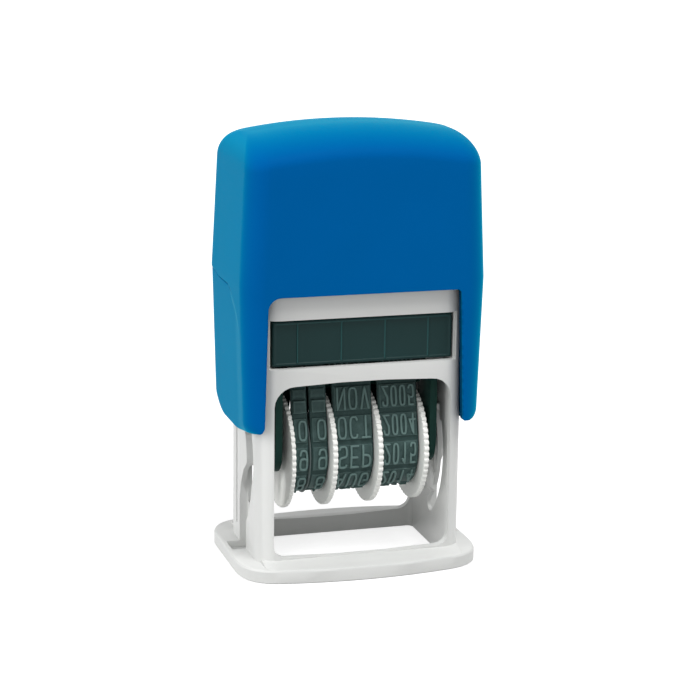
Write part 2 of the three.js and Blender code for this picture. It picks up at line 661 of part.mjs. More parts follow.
// The sloping curb in front of the front wall, and its twin behind
function curbSolid() {
  const end = wallOuter - CURB_SIDE_INSET;
  const toe = FOOT_HALF_DEPTH - FOOT_BOW - CURB_TOE;
  const section = points2([
    [-toe, FOOT_THICKNESS - FOOT_ROUND], [-faceInner, FOOT_THICKNESS - FOOT_ROUND],
    [-faceInner, CURB_HEIGHT], [-FRAME_HALF_DEPTH, CURB_HEIGHT], [-toe, FOOT_THICKNESS],
  ]);
  const front = alongX(section, -end, end);
  return front.add(front.rotate([0, 0, 180]));
}

function archShape() {
  const shape = new THREE.Shape();
  const half = WINDOW_HALF_WIDTH;
  const r = WINDOW_CORNER;
  const foot = SILL_CORNER;
  const low = CURB_HEIGHT + WINDOW_BOW;
  const high = windowTop - WINDOW_BOW;
  shape.moveTo(-half, low + foot);
  shape.absarc(-half + foot, low + foot, foot, Math.PI, Math.PI * 1.5);
  shape.quadraticCurveTo(0, low - 2 * WINDOW_BOW, half - foot, low);
  shape.absarc(half - foot, low + foot, foot, -Math.PI / 2, 0);
  shape.absarc(half - r, high - r, r, 0, Math.PI / 2);
  shape.quadraticCurveTo(0, high + 2 * WINDOW_BOW, -half + r, high);
  shape.absarc(-half + r, high - r, r, Math.PI / 2, Math.PI);
  return shape;
}

function baseFrameSolid() {
  const wall = (inset, height) => ringAt(
    ringOutline(wallOuter - inset, FRAME_HALF_DEPTH - inset, FRAME_CORNER - inset,
      FRAME_BACK_CORNER - inset), () => height);
  const rim = RIM_ROUND * (1 - Math.SQRT1_2);
  const walls = loft([
    wall(0, FOOT_THICKNESS / 2), wall(0, frameTop - RIM_ROUND),
    wall(rim, frameTop - rim), wall(RIM_ROUND, frameTop),
  ]);
  const cavity = centred(wallInner, faceInner, CAVITY_CORNER);
  const well = centred(wallInner, faceInner, WELL_CORNER);
  const ledgeBottom = padWindowBottom - LEDGE_THICKNESS;
  const ledge = wallInner - LEDGE_WIDTH;
  const ledgeRoom = rectangle(-ledge, -faceInner, ledge, faceInner);
  const bay = rectangle(-wallInner, -faceInner, wallInner, faceInner);
  const padWindow = rectangle(-wallInner - PAD_WINDOW_EXTRA, padWindowBottom,
    wallInner + PAD_WINDOW_EXTRA, padWindowTop);
  const outside = FRAME_HALF_DEPTH + OVERRUN;
  const grooveDepth = wallInner + SHOE_DEPTH + FIT_GAP;
  const groove = rectangle(-SHOE_HALF_DEPTH - GROOVE_GAP,
    pivotPressed - SHOE_HALF_HEIGHT - GROOVE_GAP, SHOE_HALF_DEPTH + GROOVE_GAP,
    pivotHeight + SHOE_HALF_HEIGHT + GROOVE_GAP);
  const seam = rectangle(SEAM_PLACE - SEAM_WIDTH / 2, CURB_HEIGHT + SEAM_RISE,
    SEAM_PLACE + SEAM_WIDTH / 2, windowTop);
  let frame = walls.add(footSolid()).add(curbSolid())
    .subtract(alongZ(well, -OVERRUN, ledgeBottom))
    .subtract(alongZ(ledgeRoom, ledgeBottom, padWindowBottom))
    .subtract(alongZ(bay, padWindowBottom, padWindowTop))
    .subtract(alongZ(cavity, deckTop, frameTop + OVERRUN))
    .subtract(alongY(archShape(), -outside, outside))
    .subtract(alongY(padWindow, -outside, -faceInner))
    .subtract(alongY(padWindow, faceInner, outside))
    .subtract(camSlotSolid())
    .subtract(trackSolid())
    .subtract(alongX(groove, -grooveDepth, grooveDepth));
  for (const side of [-1, 1]) {
    const faces = [side * (wallOuter - SEAM_DEPTH), side * (wallOuter + SEAM_DEPTH)];
    frame = frame.subtract(alongX(seam, Math.min(...faces), Math.max(...faces)));
  }
  const boss = disc(0, 0, SPRING_RADIUS - SPRING_WIRE / 2 - FIT_GAP);
  return frame.add(alongZ(boss, deckTop - DECK_THICKNESS / 2, deckTop + BOSS_HEIGHT, ROUND_STEPS));
}

// The cartridge: a tray open underneath, with a rimmed and ribbed front and back
function cartridgeSolid() {
  const halfX = wallInner - FIT_GAP;
  const halfY = FRAME_HALF_DEPTH - TRAY_RECESS;
  const face = halfY - TRAY_BORDER_HEIGHT;
  const room = centred(PAD_HALF_LENGTH + FIT_GAP, PAD_HALF_DEPTH + FIT_GAP, TRAY_CORNER);
  const panel = rectangle(-halfX + TRAY_BORDER, trayBottom + TRAY_BORDER,
    halfX - TRAY_BORDER, trayTop - TRAY_BORDER);
  let tray = alongZ(centred(halfX, halfY, TRAY_CORNER), trayBottom, trayTop)
    .subtract(alongY(panel, -halfY - OVERRUN, -face))
    .subtract(alongY(panel, face, halfY + OVERRUN));
  for (let i = 0; i < TRAY_RIB_COUNT; i += 1) {
    const place = (i - (TRAY_RIB_COUNT - 1) / 2) * TRAY_RIB_SPACING;
    const rib = rectangle(place - TRAY_RIB_WIDTH / 2, trayBottom + TRAY_BORDER / 2,
      place + TRAY_RIB_WIDTH / 2, trayTop - TRAY_BORDER / 2);
    tray = tray.add(alongY(rib, -halfY, halfY));
  }
  return tray.subtract(alongZ(room, trayBottom - OVERRUN, trayBottom + PAD_DEPTH + FIT_GAP));
}

const padSolid = () => alongZ(centred(PAD_HALF_LENGTH, PAD_HALF_DEPTH, TRAY_CORNER),
  padFace, trayBottom + PAD_DEPTH);

// The spring's wire: a helix whose two end turns lie closer together
class SpringCurve extends THREE.Curve {
  constructor(low, high) {
    super();
    this.low = low;
    this.high = high;
  }

  height(turns) {
    const free = this.high - this.low - 2 * SPRING_END_PITCH;
    const open = free / (SPRING_TURNS - 2);
    if (turns < 1) return this.low + turns * SPRING_END_PITCH;
    if (turns > SPRING_TURNS - 1) return this.high - (SPRING_TURNS - turns) * SPRING_END_PITCH;
    return this.low + SPRING_END_PITCH + (turns - 1) * open;
  }

  getPoint(t, target = new THREE.Vector3()) {
    const turns = t * SPRING_TURNS;
    const angle = turns * Math.PI * 2;
    return target.set(SPRING_RADIUS * Math.cos(angle), SPRING_RADIUS * Math.sin(angle),
      this.height(turns));
  }
}

function springSolid() {
  const rest = SPRING_WIRE / 2 + FIT_GAP;
  const curve = new SpringCurve(deckTop + rest, springCeiling - rest);
  const section = new THREE.Shape(Array.from({ length: SPRING_SIDES }, (_, i) => {
    const angle = (Math.PI * 2 * i) / SPRING_SIDES;
    return new THREE.Vector2(Math.cos(angle), Math.sin(angle)).multiplyScalar(SPRING_WIRE / 2);
  }));
  const steps = SPRING_TURNS * SPRING_STEPS_PER_TURN;
  const turnGap = Array.from({ length: steps - SPRING_STEPS_PER_TURN }, (_, i) => {
    const here = curve.getPoint(i / steps);
    return curve.getPoint((i + SPRING_STEPS_PER_TURN) / steps).distanceTo(here) - SPRING_WIRE;
  });
  console.log(`least gap between the spring's turns ${Math.min(...turnGap).toFixed(2)} mm`);
  return solidOf(new THREE.ExtrudeGeometry(section, { steps, extrudePath: curve }));
}

// Half width of the cap at the legs' ends, the grip line and the shoulder
const capLow = legInner + CAP_SIDE_WALL;
const capGrip = capLow + CAP_SIDE_SWELL;
const capHigh = capGrip - CAP_TOP_DRAFT;

// The cap's outside: flat sides that lean in above and below the grip line, a top that is
// part of a long cylinder, and oval edges between them that run far in at front and back
function capOuterSolid() {
  const drop = (x) => (x * x) / (2 * CAP_DOME_RADIUS);
  const edge = (x) => CAP_EDGE_RISE - CAP_EDGE_EASE * (x / capHigh) ** 2;
  const faceHigh = capFace - CAP_FACE_DRAFT;
  const rings = [
    ringAt(ringOutline(capLow, capFace, CAP_CORNER), () => legBottom),
    ringAt(ringOutline(capGrip, capFace, CAP_CORNER), () => gripLine),
  ];
  for (let i = 0; i <= CAP_EDGE_STEPS; i += 1) {
    const angle = (Math.PI / 2) * (i / CAP_EDGE_STEPS);
    const inward = 1 - Math.cos(angle);
    const outline = ringOutline(capHigh - CAP_EDGE_SIDE * inward,
      faceHigh - CAP_EDGE_FACE * inward, THREE.MathUtils.lerp(CAP_CORNER, CAP_TOP_CORNER, inward));
    rings.push(ringAt(outline, (x) => capTop - drop(x) - edge(x) * (1 - Math.sin(angle))));
  }
  const inner = ringOutline(capHigh - CAP_EDGE_SIDE, faceHigh - CAP_EDGE_FACE, CAP_TOP_CORNER)
    .map(([x, y]) => [x / 2, y / 2]);
  rings.push(ringAt(inner, (x) => capTop - drop(x)));
  return loft(rings);
}

// The legs' lower edges seen from the side: rising a little to the front and in a long
// sweep to the back
function legTrimShape() {
  const side = capFace + OVERRUN;
  const shape = new THREE.Shape();
  shape.moveTo(-capFace, legBottom + LEG_TOE_RISE);
  shape.quadraticCurveTo(-(capFace + LEG_TOE_START) / 2, legBottom, -LEG_TOE_START, legBottom);
  shape.lineTo(LEG_CURVE_START, legBottom);
  shape.absellipse(LEG_CURVE_START, legBottom + LEG_CURVE_RISE, capFace - LEG_CURVE_START,
    LEG_CURVE_RISE, -Math.PI / 2, 0);
  shape.lineTo(side, legBottom + LEG_CURVE_RISE);
  shape.lineTo(side, capTop + OVERRUN);
  shape.lineTo(-side, capTop + OVERRUN);
  shape.lineTo(-side, legBottom + LEG_TOE_RISE);
  return shape;
}

// The legs seen from the front: rounded at their outer lower corners
function legRoundShape() {
  const side = capGrip + OVERRUN;
  const top = capTop + OVERRUN;
  const r = LEG_OUTER_ROUND;
  const shape = new THREE.Shape();
  shape.absarc(-capLow + r, legBottom + r, r, Math.PI, Math.PI * 1.5);
  shape.absarc(capLow - r, legBottom + r, r, -Math.PI / 2, 0);
  shape.lineTo(side, legBottom + r);
  shape.lineTo(side, top);
  shape.lineTo(-side, top);
  shape.lineTo(-side, legBottom + r);
  return shape;
}

// The opening under the cap's face, widening in a round at the legs' lower ends
function cutoutShape() {
  const half = CUTOUT_HALF_WIDTH;
  const r = LEG_INNER_ROUND;
  const low = legBottom + LEG_TOE_RISE;
  const under = legBottom - OVERRUN;
  const shape = new THREE.Shape();
  shape.moveTo(-half - r, under);
  shape.lineTo(half + r, under);
  shape.lineTo(half + r, low);
  shape.absarc(half + r, low + r, r, -Math.PI / 2, -Math.PI, true);
  shape.absarc(half - CUTOUT_CORNER, cutoutTop - CUTOUT_CORNER, CUTOUT_CORNER, 0, Math.PI / 2);
  shape.absarc(-half + CUTOUT_CORNER, cutoutTop - CUTOUT_CORNER, CUTOUT_CORNER,
    Math.PI / 2, Math.PI);
  shape.absarc(-half - r, low + r, r, 0, -Math.PI / 2, true);
  return shape;
}

function capSolid() {
  const width = capGrip + OVERRUN;
  const under = legBottom - OVERRUN;
  const room = centred(legInner, FRAME_HALF_DEPTH + SLIDE_GAP, FRAME_CORNER + SLIDE_GAP);
  const hollow = centred(CAP_HOLLOW_HALF_LENGTH, CAP_HOLLOW_HALF_DEPTH, CAP_CORNER / 2);
  const ringInner = SPRING_RADIUS + SPRING_WIRE / 2 + FIT_GAP;
  const ring = hole(disc(0, 0, ringInner + SPRING_RING_WALL), 0, 0, ringInner);
  const slot = new THREE.Shape();
  slot.absellipse(-CRANK / 2, pinHeight, LEG_SLOT_HALF_LENGTH, LEG_SLOT_HALF_HEIGHT,
    0, Math.PI * 2);
  const slotEnd = pinEnd + FIT_GAP;
  const outside = capFace + OVERRUN;
  return capOuterSolid()
    .intersect(alongX(legTrimShape(), -width, width, ROUND_STEPS / 2))
    .intersect(alongY(legRoundShape(), -outside, outside))
    .subtract(alongZ(room, under, roofHeight))
    .subtract(alongZ(hollow, roofHeight - OVERRUN, springCeiling))
    .subtract(alongY(cutoutShape(), -outside, outside))
    .subtract(alongX(slot, -slotEnd, slotEnd, ROUND_STEPS))
    .add(alongZ(ring, springCeiling - SPRING_RING_HEIGHT, springCeiling + CAP_ROOF / 2,
      ROUND_STEPS));
}

// The assembly
const model = new THREE.Group();

function place(parent, name, solid, look) {
  const mesh = new THREE.Mesh(geometryOf(solid), look);
  mesh.name = name;
  parent.add(mesh);
  return mesh;
}

const frameGroup = new THREE.Group();
place(frameGroup, "base_frame", baseFrameSolid(), WHITE);
place(frameGroup, "ink_cartridge", cartridgeSolid(), INK_GREY);
place(frameGroup, "ink_pad", padSolid(), FELT);
place(frameGroup, "return_spring", springSolid(), STEEL);

const capGroup = new THREE.Group();
place(capGroup, "cap_shell", capSolid(), BLUE);

// A piece made for the right side, and its mirror image on the left
function placePair(parent, name, solid, look) {
  place(parent, `${name}_right`, solid, look);
  place(parent, `${name}_left`, solid.mirror([1, 0, 0]), look);
}

const dateGroup = new THREE.Group();
placePair(dateGroup, "swivel_shoe", shoeSolid(), WHITE);
placePair(dateGroup, "cage_plate", cagePlateSolid(), ANTHRACITE);
placePair(dateGroup, "guide_pin", guidePinSolid(), ANTHRACITE);
placePair(dateGroup, "shaft_clip", clipSolid(), STEEL);
place(dateGroup, "wheel_shaft", shaftSolid(), STEEL);
place(dateGroup, "platen_bar",
  alongX(platenSection(0), FIT_GAP - cageInner, cageInner - FIT_GAP), ANTHRACITE);
place(dateGroup, "band_divider", dividerSolid(), WHEEL_WHITE);

const bands = { day_tens: stack.tens, day_units: stack.units, month: stack.month, year: stack.year };
for (const [name, span] of Object.entries(bands)) {
  place(dateGroup, `${name}_band`, bandSolid(span), BAND_GREY);
}

const wheels = {
  day_tens: thumbWheelSolid(stack.wheel1, stack.tens[1]),
  day_units: thumbWheelSolid(stack.wheel2, stack.units[0]),
  month: thumbWheelSolid(stack.wheel3, stack.month[0]),
  year: thumbWheelSolid(stack.wheel4, stack.year[0]),
};
for (const [name, solid] of Object.entries(wheels)) {
  place(dateGroup, `${name}_wheel`, solid, WHEEL_WHITE);
}

model.add(frameGroup, capGroup, dateGroup);

export default model;
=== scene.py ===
"""A pocket self-inking date stamp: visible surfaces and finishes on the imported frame.

Lengths inside the shape functions are millimetres in the frame's own axes, +Z up and the
front towards -Y, and become metres only when a mesh is made.
"""

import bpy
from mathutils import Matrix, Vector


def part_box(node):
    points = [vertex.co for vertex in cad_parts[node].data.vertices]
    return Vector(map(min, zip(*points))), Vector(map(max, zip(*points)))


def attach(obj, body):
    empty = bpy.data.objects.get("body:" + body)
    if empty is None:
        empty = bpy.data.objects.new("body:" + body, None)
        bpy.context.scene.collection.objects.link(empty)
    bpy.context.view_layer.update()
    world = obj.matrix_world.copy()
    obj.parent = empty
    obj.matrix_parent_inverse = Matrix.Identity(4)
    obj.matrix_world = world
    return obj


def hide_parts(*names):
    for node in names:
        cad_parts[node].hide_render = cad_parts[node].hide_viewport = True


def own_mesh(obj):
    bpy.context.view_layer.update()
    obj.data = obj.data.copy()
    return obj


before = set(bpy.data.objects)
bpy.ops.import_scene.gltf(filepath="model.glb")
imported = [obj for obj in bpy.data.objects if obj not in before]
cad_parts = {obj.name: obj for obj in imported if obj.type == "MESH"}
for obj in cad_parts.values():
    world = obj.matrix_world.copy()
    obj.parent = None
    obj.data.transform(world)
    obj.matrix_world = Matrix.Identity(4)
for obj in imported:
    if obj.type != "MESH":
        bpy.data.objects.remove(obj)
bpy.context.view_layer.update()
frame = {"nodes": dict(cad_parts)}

import math

import bmesh
import bpy
import numpy as np
from mathutils import Matrix, Vector

bl_info = {
    "name": "Date Stamp",
    "version": (1, 0, 0),
    "blender": (4, 5, 0),
    "location": "View3D > Sidebar > Stamp",
    "description": "Surfaces and finishes of a pocket self-inking date stamp",
    "category": "Add Mesh",
}

MM = 0.001


def extent(node):
    """Lowest and highest corner of a CAD node in millimetres."""
    low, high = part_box(node)
    return np.array(low) / MM, np.array(high) / MM


# Places that follow from the frame
SHAFT_Z = float(sum(corner[2] for corner in extent("wheel_shaft")) / 2)
CAP_LOW, CAP_HIGH = extent("cap_shell")
LEG_BOTTOM = float(CAP_LOW[2])
SPRING_TOP = float(extent("return_spring")[1][2])
CAP_TOP = float(CAP_HIGH[2])

# The loop that the bands run on, and the block that each of its rows carries
ROW_COUNT = 12
ROW_PITCH = 5.0
BAND_BLANK = 2.6
BAND_RADIUS = 7.3
BAND_NOSE = 2.6
BAND_FLAT = 2.0
BAND_THICKNESS = 1.1
BLOCK_HEIGHT = 0.25
BLOCK_MARGIN = 0.25
BLOCK_LENGTH = 4.1
BAND_LOOP = ROW_COUNT * ROW_PITCH + BAND_BLANK


def loop_at(slope):
    """Rise of the nose's middle over the shaft, length of the straight run and half of the
    loop, where the straight runs slope by that angle and touch both drum and nose."""
    rise = (BAND_RADIUS - BAND_NOSE - BAND_FLAT * math.cos(slope)) / math.sin(slope)
    run = rise * math.cos(slope) - BAND_FLAT * math.sin(slope)
    turns = BAND_NOSE * (math.pi / 2 - slope) + BAND_RADIUS * (math.pi / 2 + slope)
    return rise, run, BAND_FLAT + run + turns


# The slope that gives the loop its length, from the finest of many steps
SLOPES = np.linspace(0.1, 0.4, 3001)
BAND_SLOPE = float(SLOPES[np.argmin([abs(loop_at(a)[2] - BAND_LOOP / 2) for a in SLOPES])])
BAND_RISE, BAND_STRAIGHT, _ = loop_at(BAND_SLOPE)
BAND_SHOULDER = SHAFT_Z + BAND_RISE
BAND_TOP = BAND_SHOULDER + BAND_NOSE
NOSE_END = BAND_FLAT + (math.pi / 2 - BAND_SLOPE) * BAND_NOSE
STRAIGHT_END = NOSE_END + BAND_STRAIGHT
ROW_WAYS = np.array([k * ROW_PITCH + (BAND_BLANK if k > ROW_COUNT // 2 else 0)
                     for k in range(ROW_COUNT)])

# The cap's outside: half widths at the legs' ends, the grip line and the shoulder, half
# depths at the grip line and the shoulder, and the radius of its upright corners
CAP_HALF_LOW = 20.45
CAP_HALF_GRIP = 21.2
CAP_HALF_TOP = 20.3
CAP_FACE = 13.3
CAP_FACE_TOP = 13.05
CAP_CORNER = 3.8
GRIP_Z = 50.32
# The cut-out's height, and for each of its sides the half width at its top and at the legs'
# ends, the radius of its upper corner, and the rounding of the leg's corner beside it
CUTOUT_TOP = 48.76
CUTOUT_SIDES = {-1: (17.15, 17.7, 2.2, 0.9), 1: (16.25, 17.05, 0.8, 0.3)}
# The rounded top edge: its height, how far it draws in at the sides and at the faces, the
# corner's radius at its end, and the radius of the dome from left to right
EDGE_RISE = 4.8
EDGE_SIDE = 2.9
EDGE_FACE = 11.2
TOP_CORNER = 1.5
DOME_RADIUS = 100.0
# The room inside: half depth and corner at the legs and at the roof, the heights between
# which the one becomes the other, and the hollow over the spring by its half length, half
# depth and corner
ROOM_HALF_X = 18.45
ROOM_HALF_Y = (12.0, 11.75)
ROOM_CORNER = (2.2, 4.05)
ROOM_TURN = (52.0, 62.0)
ROOM_TOP = 71.4
HOLLOW = (12.0, 7.2, 1.9)
# The legs' lower edges: where they start to rise to the front and to the back, and how far
TOE_START = -3.0
TOE_RISE = 1.3
HEEL_START = 4.0
HEEL_RISE = 9.5
# Rounding of a leg's outer edge: into the side and up, each with what its front adds, the
# depths between which that fades, and the widths between which the edge becomes outer
LEG_ROUND_SIDE = (0.3, 0.9)
LEG_ROUND_UP = (0.35, 1.7)
LEG_FRONT = (-9.5, -3.0)
LEG_OUTER = (18.2, 20.2)
# The pockets in the legs' insides: middle and half size in depth and height, and their floor
POCKET_MIDDLE = (-2.5, 28.7)
POCKET_HALF = (4.2, 2.7)
POCKET_X = 19.85
# The crease over the grip: its height, and where, how fast and how far it bends down. The
# step under it is soft before GRIP_FRONT, and step and groove fade near the corners
CREASE_Z = 49.0
CREASE_BEND = -1.2
CREASE_REACH = 8.0
CREASE_DROP = 6.1
GRIP_FRONT = (-4.5, -1.0)
GRIP_BEGINS = (-10.0, -5.0)
GRIP_ENDS = (9.6, 11.4)
GROOVE_WIDTH = 0.13
GROOVE_DEPTH = 0.25
# How far painted shade darkens the cap's room, and the outer line of its rims
PAINTED_ROOM_SHADE = 0.8
PAINTED_RIM_SHADE = 0.3

# The camera that took the view, in millimetres and radians, and the picture's width
EYE = (-104.68, -346.21, 123.95)
YAW, PITCH, ROLL = 0.2959, 0.2382, 0.0133
FOCAL_PIXELS = 2163.0
PHOTO_PIXELS = 700.0
SENSOR = 36.0


# Values that a user may change


def length(name, default, description):
    """A length property in metres."""
    return bpy.props.FloatProperty(name=name, description=description, default=default,
                                   min=0.0, precision=5, subtype="DISTANCE", unit="LENGTH")


def colour(name, default, description):
    """A colour property, given as it shows on the screen, 0 to 255."""
    linear = [(c / 255 / 12.92) if c <= 10 else ((c / 255 + 0.055) / 1.055) ** 2.4
              for c in default]
    return bpy.props.FloatVectorProperty(name=name, description=description, default=linear,
                                         min=0.0, max=1.0, size=3, subtype="COLOR")


class StampSizes(bpy.types.PropertyGroup):
    """Sizes of the fine forms that Blender adds to the frame"""
    edge_round: length("Edge Round", 0.00028, "Rounding of the moulded frame's edges")
    cap_edge_round: length("Cap Edge Round", 0.00017, "Rounding of the cap's cut edges")
    grip_step: length("Grip Step", 0.00022, "Depth of the grip panels in the cap's sides")
    letter_height: length("Letter Height", 0.00032, "Height of the characters on the bands")
    stroke_width: length("Stroke Width", 0.00042, "Width of the characters' strokes")
    letter_length: length("Letter Length", 0.0040, "Length of a character along its band")
    wheel_width: length("Wheel Width", 0.00085, "Thickness of the thumb wheels' rims")
    tooth_depth: length("Tooth Depth", 0.00032, "Depth of the thumb wheels' teeth")
    wire: length("Spring Wire", 0.0009, "Diameter of the return spring's wire")
    tooth_count: bpy.props.IntProperty(name="Tooth Count", default=60, min=12, max=160,
                                       description="Number of teeth round each thumb wheel")
    spring_turns: bpy.props.IntProperty(name="Spring Turns", default=7, min=3, max=20,
                                        description="Number of turns of the return spring")


class StampColours(bpy.types.PropertyGroup):
    """Colours of the materials"""
    cap: colour("Cap", (0, 77, 151), "Glossy moulded cap")
    frame: colour("Frame", (211, 212, 210), "Moulded frame and foot")
    wheel: colour("Wheels", (242, 243, 239), "Thumb wheels and divider")
    # A white disc given a grey tone: painted shade where it lies between the bands
    divider: colour("Divider", (128, 142, 142), "Thin disc between the day bands")
    cage: colour("Cage", (20, 52, 46), "Dark cage of the date unit")
    cartridge: colour("Cartridge", (20, 48, 48), "Ink cartridge")
    band: colour("Band", (47, 70, 68), "Rubber of the printing bands")
    # The lighter rubber on raised parts: painted highlight and wear
    band_lit_worn: colour("Band Worn", (102, 127, 124), "Rubber where it is rubbed")
    felt: colour("Felt", (22, 24, 34), "Inked felt pad")
    steel: colour("Steel", (176, 180, 182), "Spring, shaft and clips")
    floor: colour("Floor", (236, 236, 236), "Floor under the stamp")


# Meshes from arrays


def grid(x, y, z):
    """Points of a grid from three arrays that broadcast together."""
    return np.stack(np.broadcast_arrays(x, y, z), axis=-1)


def grid_quads(rows, columns, wrap_rows, wrap_columns):
    """Quads of a grid of points numbered row by row: each joins a point to its neighbours
    in the next column, the next row, and both. A wrapped direction joins its last line
    back to the first."""
    i = np.arange(rows if wrap_rows else rows - 1)
    j = np.arange(columns if wrap_columns else columns - 1)
    i, j = (a.ravel() for a in np.meshgrid(i, j, indexing="ij"))
    i2, j2 = (i + 1) % rows, (j + 1) % columns
    return np.stack([i * columns + j, i * columns + j2, i2 * columns + j2, i2 * columns + j],
                    axis=1)


def surface(points, wrap_rows=False, wrap_columns=False, **values):
    """A patch: a grid of points, its quads, and one number per point for each attribute."""
    rows, columns = points.shape[:2]
    return {"points": points.reshape(-1, 3),
            "quads": grid_quads(rows, columns, wrap_rows, wrap_columns),
            "values": {k: np.broadcast_to(v, (rows, columns)).ravel()
                       for k, v in values.items()}}


def joined(name, patches):
    """A mesh from patches in millimetres, with their attributes."""
    points = np.concatenate([p["points"] for p in patches])
    start = np.cumsum([0] + [len(p["points"]) for p in patches[:-1]])
    quads = np.concatenate([p["quads"] + s for p, s in zip(patches, start)])
    mesh = bpy.data.meshes.new(name)
    mesh.from_pydata((points * MM).tolist(), [], quads.tolist())
    for key in patches[0]["values"]:
        values = np.concatenate([p["values"][key] for p in patches])
        layer = mesh.attributes.new(key, "FLOAT", "POINT")
        layer.data.foreach_set("value", values.astype(np.float32))
    return mesh


def linked(name, mesh):
    """An object in the scene that shows a mesh."""
    made = bpy.data.objects.new(name, mesh)
    bpy.context.scene.collection.objects.link(made)
    return made


def fitted(name, mesh, key, body, nodes, sharp):
    """A piece from a mesh: a finish, edges that stay sharp above an angle in degrees, the
    body it rides on and the CAD nodes it stands for."""
    mesh.materials.clear()
    mesh.materials.append(look_for(key))
    mesh.shade_smooth()
    mesh.set_sharp_from_angle(angle=math.radians(sharp))
    made = linked(name, mesh)
    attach(made, body)
    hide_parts(*nodes)
    return made


def piece(name, patches, key, body, nodes, weld=0.002, sharp=40.0):
    """A piece from patches: points closer than weld, in millimetres, are merged and the
    faces are turned outwards."""
    mesh = joined(name, patches)
    shape = bmesh.new()
    shape.from_mesh(mesh)
    bmesh.ops.remove_doubles(shape, verts=shape.verts, dist=weld * MM)
    bmesh.ops.dissolve_degenerate(shape, edges=shape.edges, dist=weld * MM / 4)
    bmesh.ops.recalc_face_normals(shape, faces=shape.faces)
    shape.to_mesh(mesh)
    shape.free()
    return fitted(name, mesh, key, body, nodes, sharp)


def rounded(obj, width, angle, **settings):
    """Round the piece's edges that are sharper than an angle in degrees."""
    bevel = obj.modifiers.new("Bevel", "BEVEL")
    bevel.width = width
    bevel.segments = 3
    bevel.limit_method = "ANGLE"
    bevel.angle_limit = math.radians(angle)
    bevel.use_clamp_overlap = True
    for key, value in settings.items():
        setattr(bevel, key, value)


def between(a, b, share):
    """The value a share of the way from a to b."""
    return a + (b - a) * share


def ramp(low, high, x):
    """0 up to low, 1 from high on, and a straight line between."""
    return np.clip((x - low) / (high - low), 0, 1)


def smoothstep(low, high, x):
    """0 up to low, 1 from high on, and a cubic between: 3 t squared less 2 t cubed."""
    t = ramp(low, high, x)
    return t * t * (3 - 2 * t)


def quarter(t):
    """How far a quarter circle of radius 1 has come from its first tangent, 0 to 1: one
    less the root of 1 - t squared, with t kept within 0 and 1."""
    return 1 - np.sqrt(1 - np.clip(t, 0, 1) ** 2)


# Materials


class Look:
    """The nodes of a material or a world. add() makes a node, sets its plain inputs and
    links those that are given as another node's output."""

    def __init__(self, owner):
        self.owner = owner
        owner.use_nodes = True
        self.tree = owner.node_tree
        self.tree.nodes.clear()

    def add(self, kind, inputs=None, output=0, **settings):
        node = self.tree.nodes.new("ShaderNode" + kind)
        for key, value in settings.items():
            setattr(node, key, value)
        for key, value in (inputs or {}).items():
            if isinstance(value, bpy.types.NodeSocket):
                self.tree.links.new(value, node.inputs[key])
            else:
                node.inputs[key].default_value = value
        return node.outputs[output] if node.outputs else None

    def place(self):
        """Object coordinates, in metres."""
        return self.add("TexCoord", output=3)

    def attribute(self, key):
        """A number that the mesh carries at its points."""
        return self.add("Attribute", attribute_name=key, output=2)

    def noise(self, scale, detail=2.0, roughness=0.5, stretch=None, distortion=0.0):
        """Noise of so many grains to the metre, stretched if a scale per axis is given."""
        where = self.place()
        if stretch:
            where = self.add("Mapping", {"Vector": where, "Scale": stretch})
        return self.add("TexNoise", {"Vector": where, "Scale": scale, "Detail": detail,
                                     "Roughness": roughness, "Distortion": distortion})

    def math(self, operation, a, b, **settings):
        """Two values joined by an operation of Blender's Math node."""
        return self.add("Math", {0: a, 1: b}, operation=operation, **settings)

    def spread(self, value, low, high, to_low, to_high):
        """A value's range mapped to another, clamped."""
        return self.add("MapRange", {0: value, 1: low, 2: high, 3: to_low, 4: to_high})

    def mix(self, share, a, b):
        """Colour a turned to colour b by a share."""
        return self.add("Mix", {0: share, 6: a, 7: b}, output=2, data_type="RGBA")

    def blend(self, value, low, high, a, b, most=1.0):
        """Colour a that turns to b, by a share of at most most, as a value goes from low
        to high."""
        return self.mix(self.spread(value, low, high, 0.0, most), a, b)

    def bump(self, height, distance, strength=1.0, **normal):
        """A relief of that height in metres, on top of another if Normal is given."""
        return self.add("Bump", {"Height": height, "Distance": distance,
                                 "Strength": strength, **normal})

    def white_rays(self):
        """1 for what looks at the background directly, by a mirror or through glass."""
        path = self.add("LightPath").node.outputs
        seen = self.math("MAXIMUM", path["Is Camera Ray"], path["Is Glossy Ray"])
        return self.math("MAXIMUM", seen, path["Is Transmission Ray"])

    def done(self, shader):
        """The material, with a shader as its surface."""
        self.add("OutputMaterial", {"Surface": shader})
        return self.owner

    def principled(self, inputs):
        """The material, with a principled shader that has these inputs."""
        return self.done(self.add("BsdfPrincipled", inputs))


def new_look(name):
    """A new material's nodes."""
    return Look(bpy.data.materials.new(name))


def rgba(value, factor=1.0):
    """A colour property as four numbers, lightened or darkened by a factor."""
    return (*[min(1.0, c * factor) for c in value], 1.0)


